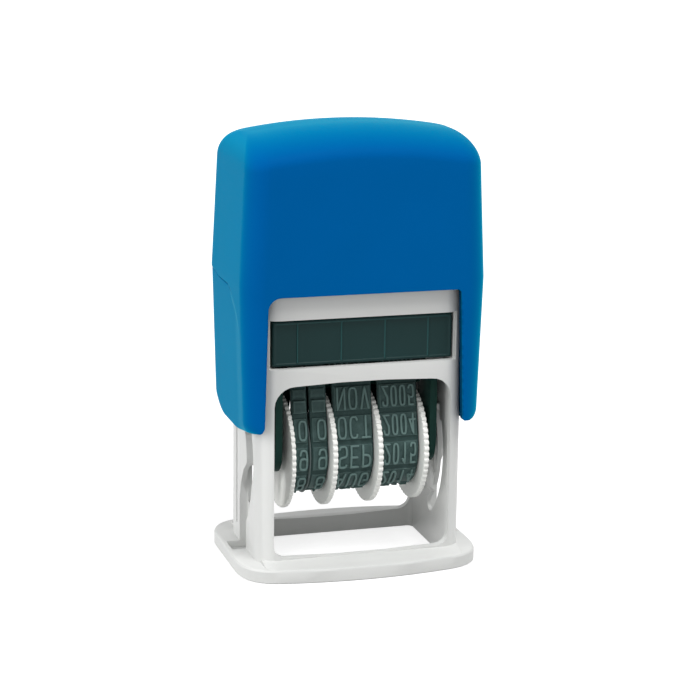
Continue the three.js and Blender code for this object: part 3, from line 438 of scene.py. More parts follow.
def moulded(name, tone, roughness, grain_height=0.000012, drift=0.05, specular=0.5,
            marks=1.0, shaded=None, sheen=None):
    """Injection-moulded plastic: a tone that drifts slightly over centimetres, a fine
    spark-eroded grain, faint flow waves, and short rub marks in the gloss. If a factor is
    given, a point attribute of painted light turns the tone towards that factor of it:
    darker as painted shade, lighter as painted highlight. The attribute also fades the
    sheen, which is given as its weight, roughness and tint."""
    look = new_look(name)
    cloud = look.noise(90.0, 3.0, 0.55)
    base = look.blend(cloud, 0.3, 0.7, rgba(tone, 1.0 - drift), rgba(tone, 1.0 + drift))
    speck = look.noise(1500.0)
    base = look.blend(speck, 0.62, 0.78, base, rgba(tone, 1.12), 0.12 * marks)
    rubbed = look.noise(420.0, 4.0, 0.65, stretch=(0.35, 1.0, 2.6))
    gloss = look.spread(rubbed, 0.35, 0.75, roughness - 0.03 * marks,
                        roughness + 0.06 * marks)
    normal = look.bump(look.noise(3200.0, 3.0, 0.6), grain_height, 0.5)
    waves = look.noise(120.0, 1.0, 0.4, stretch=(1.0, 1.0, 0.35))
    normal = look.bump(waves, 0.00004, 0.2 * marks, Normal=normal)
    inputs = {"Roughness": gloss, "Normal": normal, "Specular IOR Level": specular}
    if shaded is not None:
        # Painted light from the mesh: painted shade below the tone, painted highlight above it
        shade = look.attribute("shade")
        base = look.mix(shade, base, rgba(tone, shaded))
    if sheen is not None:
        weight, dullness, tint = sheen
        inputs.update({"Sheen Weight": look.spread(shade, 0.0, 1.0, weight, 0.0),
                       "Sheen Roughness": dullness, "Sheen Tint": (*tint, 1.0)})
    return look.principled({"Base Color": base, **inputs})


def rubber(name, tone, lit_and_worn):
    """Vulcanised rubber: painted shade darkens it in the grooves, and painted highlight with
    wear lightens it on the raised blocks, strokes and edges that the relief and edge
    attributes mark, with a dusty bloom and a fine matt grain."""
    look = new_look(name)
    cloud = look.noise(700.0, 4.0, 0.6)
    share = look.math("ADD", look.spread(look.attribute("relief"), 0.0, 1.0, 0.0, 0.30),
                      look.spread(cloud, 0.25, 0.75, -0.18, 0.18))
    share = look.math("ADD", look.math("MULTIPLY", look.attribute("edge"), 0.72), share,
                      use_clamp=True)
    base = look.mix(share, rgba(tone, 0.9), rgba(lit_and_worn))
    dust = look.noise(3000.0, 3.0, 0.7)
    base = look.blend(dust, 0.58, 0.8, base, rgba(lit_and_worn, 1.1), 0.22)
    return look.principled({
        "Base Color": base, "Roughness": look.spread(cloud, 0.2, 0.8, 0.46, 0.64),
        "Normal": look.bump(look.noise(2600.0, 4.0, 0.65), 0.00003, 0.8),
        "Specular IOR Level": 0.2})


def felt(name, tone):
    """Inked felt: short curled fibres in all directions with wet, darker patches."""
    look = new_look(name)
    fibre = look.noise(5200.0, 5.0, 0.7, distortion=1.6)
    wet = look.noise(260.0, 3.0)
    base = look.blend(fibre, 0.35, 0.7, rgba(tone, 0.55), rgba(tone, 2.4))
    base = look.blend(wet, 0.4, 0.65, base, rgba(tone, 0.6), 0.7)
    return look.principled({
        "Base Color": base, "Roughness": look.spread(wet, 0.35, 0.65, 0.95, 0.6),
        "Normal": look.bump(fibre, 0.00009), "Sheen Weight": 0.35,
        "Sheen Roughness": 0.5})


def drawn_steel(name, tone):
    """Drawn steel wire and turned shafts: fine lengthwise draw marks and a cloudy gloss."""
    look = new_look(name)
    marks = look.noise(900.0, 4.0, 0.7, stretch=(1.0, 6.0, 6.0))
    base = look.blend(look.noise(300.0), 0.3, 0.7, rgba(tone, 0.86), rgba(tone, 1.06))
    return look.principled({
        "Base Color": base, "Metallic": 1.0,
        "Roughness": look.spread(marks, 0.25, 0.8, 0.22, 0.42),
        "Normal": look.bump(marks, 0.00001, 0.6)})


LOOKS = {}


def look_for(key):
    """The finish with that name, made once from the colours of the scene."""
    if key not in LOOKS:
        tones = bpy.context.scene.stamp_colours
        makers = {
            # The cap's room, rims and crease are darkened by painted shade towards 0.15 of its
            # tone
            "cap": lambda: moulded("glossy_blue", tones.cap, 0.32, grain_height=0.000002,
                                   drift=0.02, specular=0.002, marks=0.0, shaded=0.15,
                                   sheen=(0.9, 0.58, (0.0, 0.5, 0.52))),
            "frame": lambda: moulded("frame_white", tones.frame, 0.42, drift=0.02),
            "wheel": lambda: moulded("wheel_white", tones.wheel, 0.45, drift=0.02),
            # Grey tone of a white disc: painted shade between the bands
            "divider": lambda: moulded("divider_painted_shade_grey", tones.divider, 0.4, drift=0.03),
            "cage": lambda: moulded("cage_dark", tones.cage, 0.48, drift=0.08, specular=0.1),
            # The cartridge's ribs and upper rim edge are lightened by painted highlight to 2.3
            # times its tone
            "cartridge": lambda: moulded("cartridge_grey", tones.cartridge, 0.34, drift=0.06,
                                         specular=0.14, marks=0.6, shaded=2.3),
            "band": lambda: rubber("band_rubber", tones.band, tones.band_lit_worn),
            "felt": lambda: felt("inked_felt", tones.felt),
            "steel": lambda: drawn_steel("drawn_steel", tones.steel),
        }
        LOOKS[key] = makers[key]()
    return LOOKS[key]


def dress(node, key):
    """A CAD node keeps its shape and gets a finish."""
    obj = frame["nodes"][node]
    obj.data.materials.clear()
    obj.data.materials.append(look_for(key))


# The cap


def outline_half(half_x, half_y, corner, s):
    """Point at arc length s on a rounded rectangle, from the middle of its front edge
    round its right side to the middle of its back edge: straight, quarter circle,
    straight, quarter circle, straight."""
    end1 = half_x - corner
    end2 = end1 + math.pi / 2 * corner
    end3 = end2 + 2 * (half_y - corner)
    end4 = end3 + math.pi / 2 * corner
    a = (s - end1) / np.maximum(corner, 1e-9)
    b = (s - end3) / np.maximum(corner, 1e-9)
    parts = [s < end1, s < end2, s < end3, s < end4]
    x = np.select(parts, [s, end1 + corner * np.sin(a), half_x + 0 * s,
                          end1 + corner * np.cos(b)], end1 - (s - end4))
    y = np.select(parts, [-half_y + 0 * s, -half_y + corner - corner * np.cos(a),
                          -half_y + corner + (s - end2), half_y - corner + corner * np.sin(b)],
                  half_y + 0 * s)
    return x, y


def length_at(half_x, corner, x):
    """Arc length from the front middle at which the outline reaches that x: straight, or
    an arc whose sine is the rest over the corner's radius."""
    end1 = half_x - corner
    rest = np.clip((x - end1) / np.maximum(corner, 1e-9), 0, 1)
    return np.where(x <= end1, x, end1 + corner * np.arcsin(rest))


# Columns of the cap's grids: fixed x across the face, evenly to the cut-out's corner and
# closer round it, and fixed shares of the way round the side from one edge to the other
FACE_EVEN = 18
CORNER_COLUMNS = 8
FACE_COUNT = FACE_EVEN - 1 + CORNER_COLUMNS
SIDE_COLUMNS = 84
SIDE_SLICE = slice(FACE_COUNT, FACE_COUNT + SIDE_COLUMNS + 1)
# Rows of its grids, and how they lie between the cut-out's edge and the grip line: closest
# where the crease runs
LEG_ROWS = 60
WALL_ROWS = 10
CROWN_ROWS = 18
FACE_SHARES = np.concatenate([[0, 0.12, 0.2, 0.28, 0.35], np.linspace(0.4, 0.84, 26),
                              [0.92, 1.0]])[:, None]


def face_columns(half, corner):
    """x of the columns over the cut-out: evenly to its corner, then by the corner's sine."""
    turn = np.sin(np.linspace(0, math.pi / 2, CORNER_COLUMNS + 1)[1:])
    return np.concatenate([np.linspace(0, half - corner, FACE_EVEN),
                           half - corner + corner * turn])


def ring(half_x, half_y, corner, face, cut=None):
    """x and y of one half of a ring for columns of three kinds: front face at fixed x, side
    by shares from the cut-out's half width, back face at fixed x. The sizes may be arrays,
    one for each row, and the result then has one row for each."""
    cut = face[-1] if cut is None else cut
    hx, hy, c, edge = (np.atleast_1d(np.asarray(v, float))[:, None]
                       for v in np.broadcast_arrays(half_x, half_y, corner, cut))
    start = length_at(hx, c, edge)
    total = 2 * (hx - c) + math.pi * c + 2 * (hy - c)
    front = length_at(hx, c, face[None, :-1] + 0 * hx)
    side = start + (total - 2 * start) * np.linspace(0, 1, SIDE_COLUMNS + 1)
    s = np.concatenate([front, side, (total - front)[:, ::-1]], axis=1)
    return outline_half(hx, hy, c, s)


def leg_edge(x, y, half, inner_round):
    """Height of a leg's lower edge: level under the middle, a power curve up to the front,
    a quarter ellipse up to the back, and a quarter circle beside the cut-out."""
    toe = TOE_RISE * ramp(TOE_START, -CAP_FACE, y) ** 1.6
    heel = HEEL_RISE * quarter(ramp(HEEL_START, CAP_FACE, y))
    return LEG_BOTTOM + toe + heel + inner_round * quarter(1 - (x - half) / inner_round)


def cap_sizes(z):
    """Half width, half depth and corner of the cap's outside at a height below the
    shoulder: straight lines from the legs' ends to the grip line and up to the top."""
    low = ramp(LEG_BOTTOM, GRIP_Z, z)
    high = ramp(GRIP_Z, CAP_TOP - EDGE_RISE, z)
    half_x = between(CAP_HALF_LOW, CAP_HALF_GRIP, low) + (CAP_HALF_TOP - CAP_HALF_GRIP) * high
    return half_x, between(CAP_FACE, CAP_FACE_TOP, high), CAP_CORNER + 0 * z


def room_sizes(z):
    """Half width, half depth and corner of the cap's room at a height: thin walls with a
    tight corner at the legs, thicker ones under the roof."""
    high = smoothstep(*ROOM_TURN, z)
    return ROOM_HALF_X + 0 * z, between(*ROOM_HALF_Y, high), between(*ROOM_CORNER, high)


def crown_rows(face):
    """The rounded top edge as rows from the shoulder to the middle of the roof. Along a
    quarter ellipse the outline draws in by a little at the sides and by much at the faces,
    then the last rows close the roof to a line along its middle."""
    angle = np.linspace(0, math.pi / 2, CROWN_ROWS)
    inward = 1 - np.cos(angle)
    closing = np.array([0.7, 0.4, 0.15, 0.0])
    half_x = CAP_HALF_TOP - EDGE_SIDE * inward
    half_y = CAP_FACE_TOP - EDGE_FACE * inward
    corner = between(CAP_CORNER, TOP_CORNER, inward)
    x, y = ring(np.concatenate([half_x, half_x[-1] - 0.25 * (1 - closing)]),
                np.concatenate([half_y, half_y[-1] * closing]),
                np.concatenate([corner, np.minimum(TOP_CORNER, half_y[-1] * closing * 0.8)]),
                face)
    rise = np.concatenate([np.sin(angle), np.ones(len(closing))])[:, None]
    dome = CAP_TOP - x ** 2 / (2 * DOME_RADIUS)
    return grid(x, y, dome - EDGE_RISE * (1 - rise))


def crease_height(y):
    """Height of the crease over the grip: level, a little higher at the back, and bent down
    towards the front by a blend of two powers."""
    t = np.clip((CREASE_BEND - y) / CREASE_REACH, 0, 1.25)
    return (CREASE_Z + 0.6 * smoothstep(4, 10, y)
            - CREASE_DROP * (0.75 * t ** 1.5 + 0.25 * t ** 6))


def grip_relief(points, grip_step):
    """Depth of the grip under its crease, and the share of the fine groove: beyond the
    crease the side steps in, sharply at the back and softly at the front, and the groove
    follows the crease's level part. Both fade out at the rounded corners."""
    x, y, z = np.moveaxis(points, 2, 0)
    slope = (crease_height(y + 0.01) - crease_height(y - 0.01)) / 0.02
    below = (crease_height(y) - z) / np.sqrt(1 + slope ** 2)
    front = 1 - smoothstep(*GRIP_FRONT, y)
    side = smoothstep(CAP_HALF_LOW - 1.2, CAP_HALF_LOW - 0.1, x)
    side = side * smoothstep(*GRIP_BEGINS, y) * (1 - smoothstep(*GRIP_ENDS, y))
    panel = grip_step * smoothstep(0, 0.14 + 1.8 * front, below)
    groove = np.exp(-(below / GROOVE_WIDTH) ** 2) * (1 - front) * side
    return panel * side + GROOVE_DEPTH * groove, groove


def leg_side(leg, bottom):
    """x of a leg whose outer lower edge draws in along a quarter ellipse, a large one at
    the front."""
    front = 1 - smoothstep(*LEG_FRONT, leg[..., 1])
    up = LEG_ROUND_UP[0] + LEG_ROUND_UP[1] * front
    into = (LEG_ROUND_SIDE[0] + LEG_ROUND_SIDE[1] * front) * ramp(*LEG_OUTER, leg[..., 0])
    return leg[..., 0] - into * quarter(1 - (leg[..., 2] - bottom) / up)


def pocket_side(leg):
    """x of a leg's inside, which is cut back where an ellipse in depth and height holds
    the point."""
    away = (leg[..., 1:] - POCKET_MIDDLE) / POCKET_HALF
    return np.where((away ** 2).sum(axis=2) < 1, POCKET_X, leg[..., 0])


def ceiling_rows(face):
    """The roof over the room: level to the hollow for the spring, whose own roof closes to
    a line along its middle."""
    close = np.array([1.0, 1.0, 0.7, 0.35, 0.0])
    half_y = HOLLOW[1] * close
    x, y = ring(HOLLOW[0] - 0.5 * (1 - close), half_y, np.minimum(HOLLOW[2], half_y * 0.8),
                face)
    return grid(x, y, np.array([ROOM_TOP] + [SPRING_TOP] * 4)[:, None])


def half_cap(sign, grip_step):
    """One half of the cap as patches of its outside, its room and the rims between them,
    turned to its side at the end."""
    cut_top, cut_low, cut_corner, inner_round = CUTOUT_SIDES[sign]
    face = face_columns(cut_top, cut_corner)
    foot = CUTOUT_TOP - cut_corner

    def skirt(z, sizes, columns=slice(None)):
        """Points of the outside, or of the room, at an array of heights."""
        flat = z.ravel()
        cut = between(cut_top, cut_low, ramp(foot, LEG_BOTTOM, flat))
        x, y = ring(*sizes(flat), face, cut)
        pick = (np.arange(z.size), np.tile(np.arange(x.shape[1])[columns], len(z)))
        return grid(x[pick].reshape(z.shape), y[pick].reshape(z.shape), z)

    # Outside and room from the cut-out's upper edge to the grip line
    x, _ = ring(*cap_sizes(np.array([foot])), face)
    rest = np.clip(x - (cut_top - cut_corner), 0, cut_corner)
    edge = np.where(x <= cut_top + 1e-6,
                    foot + np.sqrt(np.maximum(cut_corner ** 2 - rest ** 2, 0)), foot)
    face_out = skirt(between(edge, GRIP_Z, FACE_SHARES), cap_sizes)
    face_in = skirt(between(edge, GRIP_Z, np.linspace(0, 1, 6)[:, None]), room_sizes)
    # Walls from the grip line to the shoulder
    crown = crown_rows(face)
    rise = np.linspace(0, 1, WALL_ROWS)[:, None]
    wall_out = between(face_out[-1], crown[0], rise[:, :, None])
    wall_in = skirt(between(GRIP_Z, ROOM_TOP, rise) + 0 * edge, room_sizes)
    # Legs from their lower edges to the foot of the cut-out's corners, with the pockets
    x, y = (v[:, SIDE_SLICE] for v in ring(*cap_sizes(np.array([LEG_BOTTOM])), face, cut_low))
    bottom = np.minimum(leg_edge(x, y, cut_low, inner_round), foot - 1.0)
    z = between(bottom, foot, np.linspace(0, 1, LEG_ROWS)[:, None] ** 1.1)
    leg_out = skirt(z, cap_sizes, SIDE_SLICE)
    leg_in = skirt(z, room_sizes, SIDE_SLICE)
    leg_in[..., 0] = pocket_side(leg_in)
    # The grip sinks in, then the legs' outer edges are rounded
    shades = []
    for part in (face_out, leg_out):
        depth, groove = grip_relief(part, grip_step)
        part[..., 0] -= depth
        shades.append(groove)
    leg_out[..., 0] = leg_side(leg_out, bottom)
    ceiling = np.concatenate([wall_in[-1:], ceiling_rows(face)])

    # Painted shade: the groove's share darkens the crease, and the room inside is darkened all
    # over
    patches = [(face_out, shades[0]), (wall_out, 0.0), (crown, 0.0), (leg_out, shades[1])]
    patches += [(part, PAINTED_ROOM_SHADE) for part in (face_in, wall_in, leg_in, ceiling)]
    # Rims: under the cut-out's top, down its upright edge, and along the leg's lower edge;
    # painted shade darkens them, less at their outer line
    near, far = slice(0, FACE_COUNT + 1), slice(FACE_COUNT + SIDE_COLUMNS, None)
    rims = [(face_out[0, near], face_in[0, near]), (face_out[0, far], face_in[0, far]),
            (leg_out[:, 0], leg_in[:, 0]), (leg_out[:, -1], leg_in[:, -1]),
            (leg_out[0], leg_in[0])]
    share = np.linspace(0, 1, 4)[:, None, None]
    dark = np.array([PAINTED_RIM_SHADE] + [PAINTED_ROOM_SHADE] * 3)[:, None]
    patches += [(between(a, b, share), dark) for a, b in rims]
    return [surface(p * [sign, 1, 1], shade=shade) for p, shade in patches]


class STAMP_OT_cap(bpy.types.Operator):
    """Make the blue cap that slides down over the frame"""
    bl_idname = "stamp.cap"
    bl_label = "Cap"

    def execute(self, context):
        sizes = context.scene.stamp_sizes
        patches = [patch for sign in CUTOUT_SIDES
                   for patch in half_cap(sign, sizes.grip_step / MM)]
        cap = piece("cap_body", patches, "cap", "cap", ["cap_shell"])
        rounded(cap, sizes.cap_edge_round, 50)
        return {"FINISHED"}


# Pieces that keep the CAD's outline and get rounded edges


def softened(node, name, key, body, width, sharp=34.0):
    """The CAD node's own outline with its edges rounded, as on a moulding: a copy of its
    triangles is merged, flat runs become single faces, and the corners get a bevel. The
    outline comes from cuts through crossing walls, which no single grid follows."""
    mesh = frame["nodes"][node].data.copy()
    mesh.name = name
    shape = bmesh.new()
    shape.from_mesh(mesh)
    bmesh.ops.remove_doubles(shape, verts=shape.verts, dist=2e-6)
    bmesh.ops.dissolve_limit(shape, angle_limit=math.radians(0.6), verts=shape.verts,
                             edges=shape.edges)
    bmesh.ops.triangulate(shape, faces=[f for f in shape.faces if len(f.verts) > 4],
                          ngon_method="EAR_CLIP")
    bmesh.ops.recalc_face_normals(shape, faces=shape.faces)
    shape.to_mesh(mesh)
    shape.free()
    made = fitted(name, mesh, key, body, [node], sharp)
    rounded(made, width, sharp, miter_outer="MITER_ARC", harden_normals=True)


class STAMP_OT_frame(bpy.types.Operator):
    """Make the white frame with its foot, windows and cam slots"""
    bl_idname = "stamp.frame"
    bl_label = "Frame"

    def execute(self, context):
        width = context.scene.stamp_sizes.edge_round
        softened("base_frame", "frame_body", "frame", "frame", width)
        return {"FINISHED"}


# The date unit


def loop_point(way, outside):
    """y and z on a band's loop by the way along it from the middle of the print face
    towards the front, and the distance outside the band's face: flat top, arc over the
    platen's edge, straight run that slopes out to the drum, arc round the drum, and the
    same mirrored behind."""
    s = np.mod(way, BAND_LOOP)
    back = s > BAND_LOOP / 2
    s = np.where(back, BAND_LOOP - s, s) + 0 * outside
    nose = np.minimum((s - BAND_FLAT) / BAND_NOSE, math.pi / 2 - BAND_SLOPE)
    down = np.maximum(s - NOSE_END, 0)
    drum = (s - STRAIGHT_END) / BAND_RADIUS - BAND_SLOPE
    small, large = BAND_NOSE + outside, BAND_RADIUS + outside
    parts = [s < BAND_FLAT, s < STRAIGHT_END]
    y = np.select(parts, [-s, -BAND_FLAT - small * np.sin(nose) - down * math.sin(BAND_SLOPE)],
                  -large * np.cos(drum))
    z = np.select(parts, [BAND_TOP + outside + 0 * s, BAND_SHOULDER + small * np.cos(nose)
                          - down * math.cos(BAND_SLOPE)], SHAFT_Z - large * np.sin(drum))
    return np.where(back, -y, y), z


def block_height(local, split):
    """Height of a row's block, 0 to 1, by the way from the row's middle: level with eased
    ends. A bare row of the day bands has a low part, a groove, and a higher part."""
    half, ease = BLOCK_LENGTH / 2, 0.07
    whole = 1 - smoothstep(half - ease, half + ease, np.abs(local))
    low = whole * (1 - smoothstep(-0.62, -0.5, local)) * 0.75
    high = whole * smoothstep(-0.2, -0.08, local) * 1.7
    return np.where(split, low + high, whole)


def bump_at(distance, width):
    """A bell curve: the exponential of minus the square of the distance over the width."""
    return np.exp(-(distance / width) ** 2)


def band_patch(left, right, splits):
    """A rubber band: the loop by its width. Its outer face rises to one block a row, its
    edges are rounded, and its inner face lies on the drum. The columns lie closest at the
    edges and the rows at the blocks' ends."""
    steps = np.array([-2.3, -2.14, -2.06, -1.98, -1.86, -1.2, -0.68, -0.56, -0.46, -0.26,
                      -0.14, -0.02, 0.3, 0.9, 1.5, 1.86, 1.98, 2.06, 2.14, 2.3])
    rows = np.repeat(np.arange(ROW_COUNT), len(steps))
    local = np.tile(steps, ROW_COUNT)
    blank = np.array([2.8, 3.6, 4.4])
    way = np.concatenate([ROW_WAYS[rows] + local, ROW_WAYS[ROW_COUNT // 2] + blank])
    order = np.argsort(way)
    way = way[order, None]
    local = np.concatenate([local, blank * 0 + 2.5])[order, None]
    split = np.concatenate([np.isin(rows, splits), blank < 0])[order, None]
    inset = np.concatenate([[0.0, 0.03, 0.12], BLOCK_MARGIN
                            + np.array([-0.04, 0.03, 0.1, 0.2, 0.5])])
    across = np.concatenate([left + inset, np.linspace(left + 0.95, right - 0.95, 7),
                             right - inset[::-1]])
    near = np.minimum(across - left, right - across)
    lift = block_height(local, split) * smoothstep(BLOCK_MARGIN - 0.06, BLOCK_MARGIN + 0.08,
                                                   near)
    rim = np.maximum(bump_at(np.abs(local) - (BLOCK_LENGTH / 2 - 0.07), 0.09),
                     bump_at(local + 0.06, 0.08) * split)
    rim = np.maximum(rim, bump_at(near - BLOCK_MARGIN - 0.07, 0.09))
    # Painted highlight and wear along the raised blocks' edges
    lit_and_worn = np.minimum(np.clip(rim, 0, 1) * lift * 0.6, 1)
    inner = np.array([right, right - 0.1, left + 0.1, left])
    depth = np.array([0.15, BAND_THICKNESS, BAND_THICKNESS, 0.15])
    bare = np.zeros((len(way), len(inner)))
    y, z = loop_point(way, np.concatenate([lift * BLOCK_HEIGHT - 0.1 * quarter(1 - near / 0.12),
                                           bare - depth], axis=1))
    return surface(grid(np.concatenate([across, inner]), y, z),
                   wrap_rows=True, wrap_columns=True,
                   relief=np.concatenate([np.minimum(lift, 1) * 0.5, bare], axis=1),
                   edge=np.concatenate([lit_and_worn, bare], axis=1))


def arc(x0, y0, x1, y1, start=0.0, end=360.0, count=28):
    """Points on a squared oval in a box: the sine and cosine keep their sign and are
    raised to a power below one, which fills the corners."""
    t = np.radians(np.linspace(start, end, count))
    c, s = (np.sign(v) * np.abs(v) ** 0.62 for v in (np.cos(t), np.sin(t)))
    return np.stack([(x0 + x1) / 2 + (x1 - x0) / 2 * c, (y0 + y1) / 2 + (y1 - y0) / 2 * s],
                    axis=1)


def stroke(*parts):
    """A stroke from corner points and arcs, in order."""
    return np.vstack([np.atleast_2d(part) for part in parts]).astype(float)


# Characters as strokes in a box 1 wide and 1 high
GLYPHS = {
    "0": [arc(0, 0, 1, 1)],
    "1": [stroke((0.15, 0.78), (0.6, 1), (0.6, 0))],
    "2": [stroke(arc(0, 0.45, 1, 1, 170, -25, 16), (0, 0), (1, 0))],
    "3": [stroke(arc(0, 0.52, 1, 1, 150, -75, 14), (0.45, 0.52),
                 arc(0, 0, 1, 0.52, 75, -150, 14))],
    "4": [stroke((1, 0.28), (0, 0.28), (0.7, 1), (0.7, 0))],
    "5": [stroke((0.92, 1), (0.1, 1), (0.04, 0.5), arc(0, 0, 1, 0.62, 130, -155, 20))],
    "6": [stroke((0.75, 1), (0.2, 0.6), arc(0, 0, 1, 0.6, 165, 525, 24))],
    "7": [stroke((0, 1), (1, 1), (0.35, 0))],
    "8": [arc(0.06, 0.52, 0.94, 1), arc(0, 0, 1, 0.52)],
    "9": [stroke(arc(0, 0.42, 1, 1, -10, 350, 24), arc(0, 0, 1, 1.2, 0, -150, 12))],
    "A": [stroke((0, 0), (0.5, 1), (1, 0)), stroke((0.2, 0.3), (0.8, 0.3))],
    "B": [stroke((0, 0), (0, 1)),
          stroke((0, 1), arc(-0.7, 0.53, 0.9, 1, 85, -85, 10), (0, 0.53)),
          stroke((0, 0.53), arc(-0.7, 0, 1, 0.53, 85, -85, 10), (0, 0))],
    "C": [arc(0, 0, 1, 1, 38, 322)],
    "D": [stroke((0, 0), (0, 1), arc(-0.8, 0, 1, 1, 88, -88, 16), (0, 0))],
    "E": [stroke((0.95, 1), (0, 1), (0, 0), (0.95, 0)), stroke((0, 0.52), (0.8, 0.52))],
    "F": [stroke((0.95, 1), (0, 1), (0, 0)), stroke((0, 0.52), (0.8, 0.52))],
    "G": [stroke(arc(0, 0, 1, 1, 38, 345), (1, 0.45), (0.55, 0.45))],
    "J": [stroke((0.9, 1), arc(0, 0, 0.9, 0.7, 0, -165, 12))],
    "L": [stroke((0, 1), (0, 0), (0.95, 0))],
    "M": [stroke((0, 0), (0, 1), (0.5, 0.3), (1, 1), (1, 0))],
    "N": [stroke((0, 0), (0, 1), (1, 0), (1, 1))],
    "O": [arc(0, 0, 1, 1)],
    "P": [stroke((0, 0), (0, 1)),
          stroke((0, 1), arc(-0.8, 0.44, 1, 1, 85, -85, 12), (0, 0.44))],
    "R": [stroke((0, 0), (0, 1)),
          stroke((0, 1), arc(-0.8, 0.46, 1, 1, 85, -85, 12), (0, 0.46)),
          stroke((0.45, 0.46), (1, 0))],
    "S": [stroke(arc(0, 0.5, 1, 1, 25, 235, 14), arc(0, 0, 1, 0.5, 55, -155, 14))],
    "T": [stroke((0, 1), (1, 1)), stroke((0.5, 1), (0.5, 0))],
    "U": [stroke((0, 1), arc(0, 0, 1, 0.9, 180, 360, 16), (1, 1))],
    "V": [stroke((0, 1), (0.5, 0), (1, 1))],
    "Y": [stroke((0, 1), (0.5, 0.5), (1, 1)), stroke((0.5, 0.5), (0.5, 0))],
}
MONTHS = "JAN FEB MAR APR MAY JUN JUL AUG SEP OCT NOV DEC".split()
STROKE_STEP = 0.32
# A stroke's section: places across it in half widths, and heights
SECTION = np.array([[-1.06, -0.3], [-1.0, 0.0], [-0.9, 0.72], [-0.66, 0.96], [0.0, 1.0],
                    [0.66, 0.96], [0.9, 0.72], [1.0, 0.0], [1.06, -0.3], [0.0, -0.3]])


def gaps_along(path):
    """Distances from each point of a path to the next."""
    return np.linalg.norm(np.diff(path, axis=0), axis=1)


def resampled(path):
    """The path as points about a step apart, its corners kept."""
    path = path[np.concatenate([[True], gaps_along(path) > 1e-6])]
    out = [path[:1]]
    for a, b, gap in zip(path[:-1], path[1:], gaps_along(path)):
        count = max(1, int(round(gap / STROKE_STEP)))
        out.append(between(a, b, np.arange(1, count + 1)[:, None] / count))
    return np.concatenate(out)


def unit(vectors):
    """Vectors of the same directions whose length is 1."""
    return vectors / np.maximum(np.linalg.norm(vectors, axis=-1, keepdims=True), 1e-9)


def stroke_patch(path, way, width, height):
    """A raised stroke on a band: a rounded section carried along a path on the band's
    face, at right angles to it, with ends that draw in along a half circle. The section's
    foot lies inside the block under it."""
    half = width / 2
    closed = np.linalg.norm(path[0] - path[-1]) < 1e-3
    path = resampled(path)
    if closed:
        path = path[:-1]
        ahead, behind = np.roll(path, -1, axis=0), np.roll(path, 1, axis=0)
        scale = np.ones(len(path))
    else:
        turn = np.array([0.25, 0.6, 0.88, 1.0])[:, None] * half
        fade = np.sqrt(np.maximum(1 - (turn[:, 0] / half) ** 2, 0))
        scale = np.concatenate([fade[::-1], np.ones(len(path)), fade])
        path = np.concatenate([path[0] + unit(path[0] - path[1]) * turn[::-1], path,
                               path[-1] + unit(path[-1] - path[-2]) * turn])
        ahead = np.concatenate([path[1:], path[-1:]])
        behind = np.concatenate([path[:1], path[:-1]])
    tangent = unit(ahead - behind)
    widen = 1 / np.clip(np.abs((tangent * unit(path - behind)).sum(axis=1)), 0.6, 1)
    normal = np.stack([-tangent[:, 1], tangent[:, 0]], axis=1)
    offset = SECTION[:, 0] * half * (scale * widen)[:, None]
    flat = path[:, None, :] + normal[:, None, :] * offset[:, :, None]
    y, z = loop_point(way - flat[..., 1], BLOCK_HEIGHT + SECTION[:, 1] * height + 0 * offset)
    # Painted highlight and wear on the strokes' crowns
    lit_and_worn = np.clip(SECTION[:, 1], 0, 1) ** 2
    return surface(grid(flat[..., 0], y, z), wrap_rows=closed, wrap_columns=True,
                   relief=0.5 + 0.5 * lit_and_worn, edge=lit_and_worn)


def text_patches(text, left, right, row, sizes, gap, tall):
    """A row's characters side by side across the band, each a mirror image: they read
    from left to right and stand upside down, as printing type does."""
    width = sizes.stroke_width / MM
    tall = sizes.letter_length / MM * tall - width
    pitch = (right - left + gap) / len(text)
    patches = []
    for i, letter in enumerate(text):
        start = left + width / 2 + i * pitch
        for path in GLYPHS[letter]:
            path = path * [pitch - gap - width, -tall] + [start, tall / 2]
            patches.append(stroke_patch(path, ROW_WAYS[row], width, sizes.letter_height / MM))
    return patches


def band_texts(kind):
    """What each row of a band says, from the row on the print face towards the front."""
    if kind == "month":
        return [MONTHS[-k] for k in range(ROW_COUNT)]
    if kind == "year":
        return [str(2004 + (3 - k) % 12) for k in range(ROW_COUNT)]
    return ["" if k in (1, 2) else str((13 - k) % 10) for k in range(ROW_COUNT)]


# How far a band's rubber spreads past its place on the left and right, the bare edges left
# and right of a row's characters, the gap between them, and their height's share
BANDS = {"day_tens": (0.05, 0.18, 0.86, 0.24, 0.2, 0.91),
         "day_units": (0.08, 0.2, 1.0, 0.26, 0.2, 0.91),
         "month": (0.1, 0.2, 0.5, 0.5, 0.42, 1.0),
         "year": (0.1, 0.2, 0.55, 0.55, 0.3, 0.94)}


class STAMP_OT_bands(bpy.types.Operator):
    """Make the four rubber bands with their mirrored characters"""
    bl_idname = "stamp.bands"
    bl_label = "Printing Bands"

    def execute(self, context):
        sizes = context.scene.stamp_sizes
        for kind, (out_left, out_right, bare_left, bare_right, gap, tall) in BANDS.items():
            low, high = extent(f"{kind}_band")
            left, right = low[0] - out_left, high[0] + out_right
            texts = band_texts(kind)
            patches = [band_patch(left, right, [k for k, t in enumerate(texts) if not t])]
            for row, text in enumerate(texts):
                if text:
                    patches += text_patches(text, left + bare_left, right - bare_right, row,
                                            sizes, gap, tall)
            piece(f"{kind}_rubber", patches, "band", "date_unit",
                  [f"{kind}_band"], weld=0.0005, sharp=60.0)
        return {"FINISHED"}


# Wheels, cage and shaft

# Radii of the holes for the shaft and of a drum under its band, and how far the first
# wheel's face is set back from its place
BORE = 1.7
DRUM_RADIUS = BAND_RADIUS - 1.4
FIRST_SET_BACK = 0.15
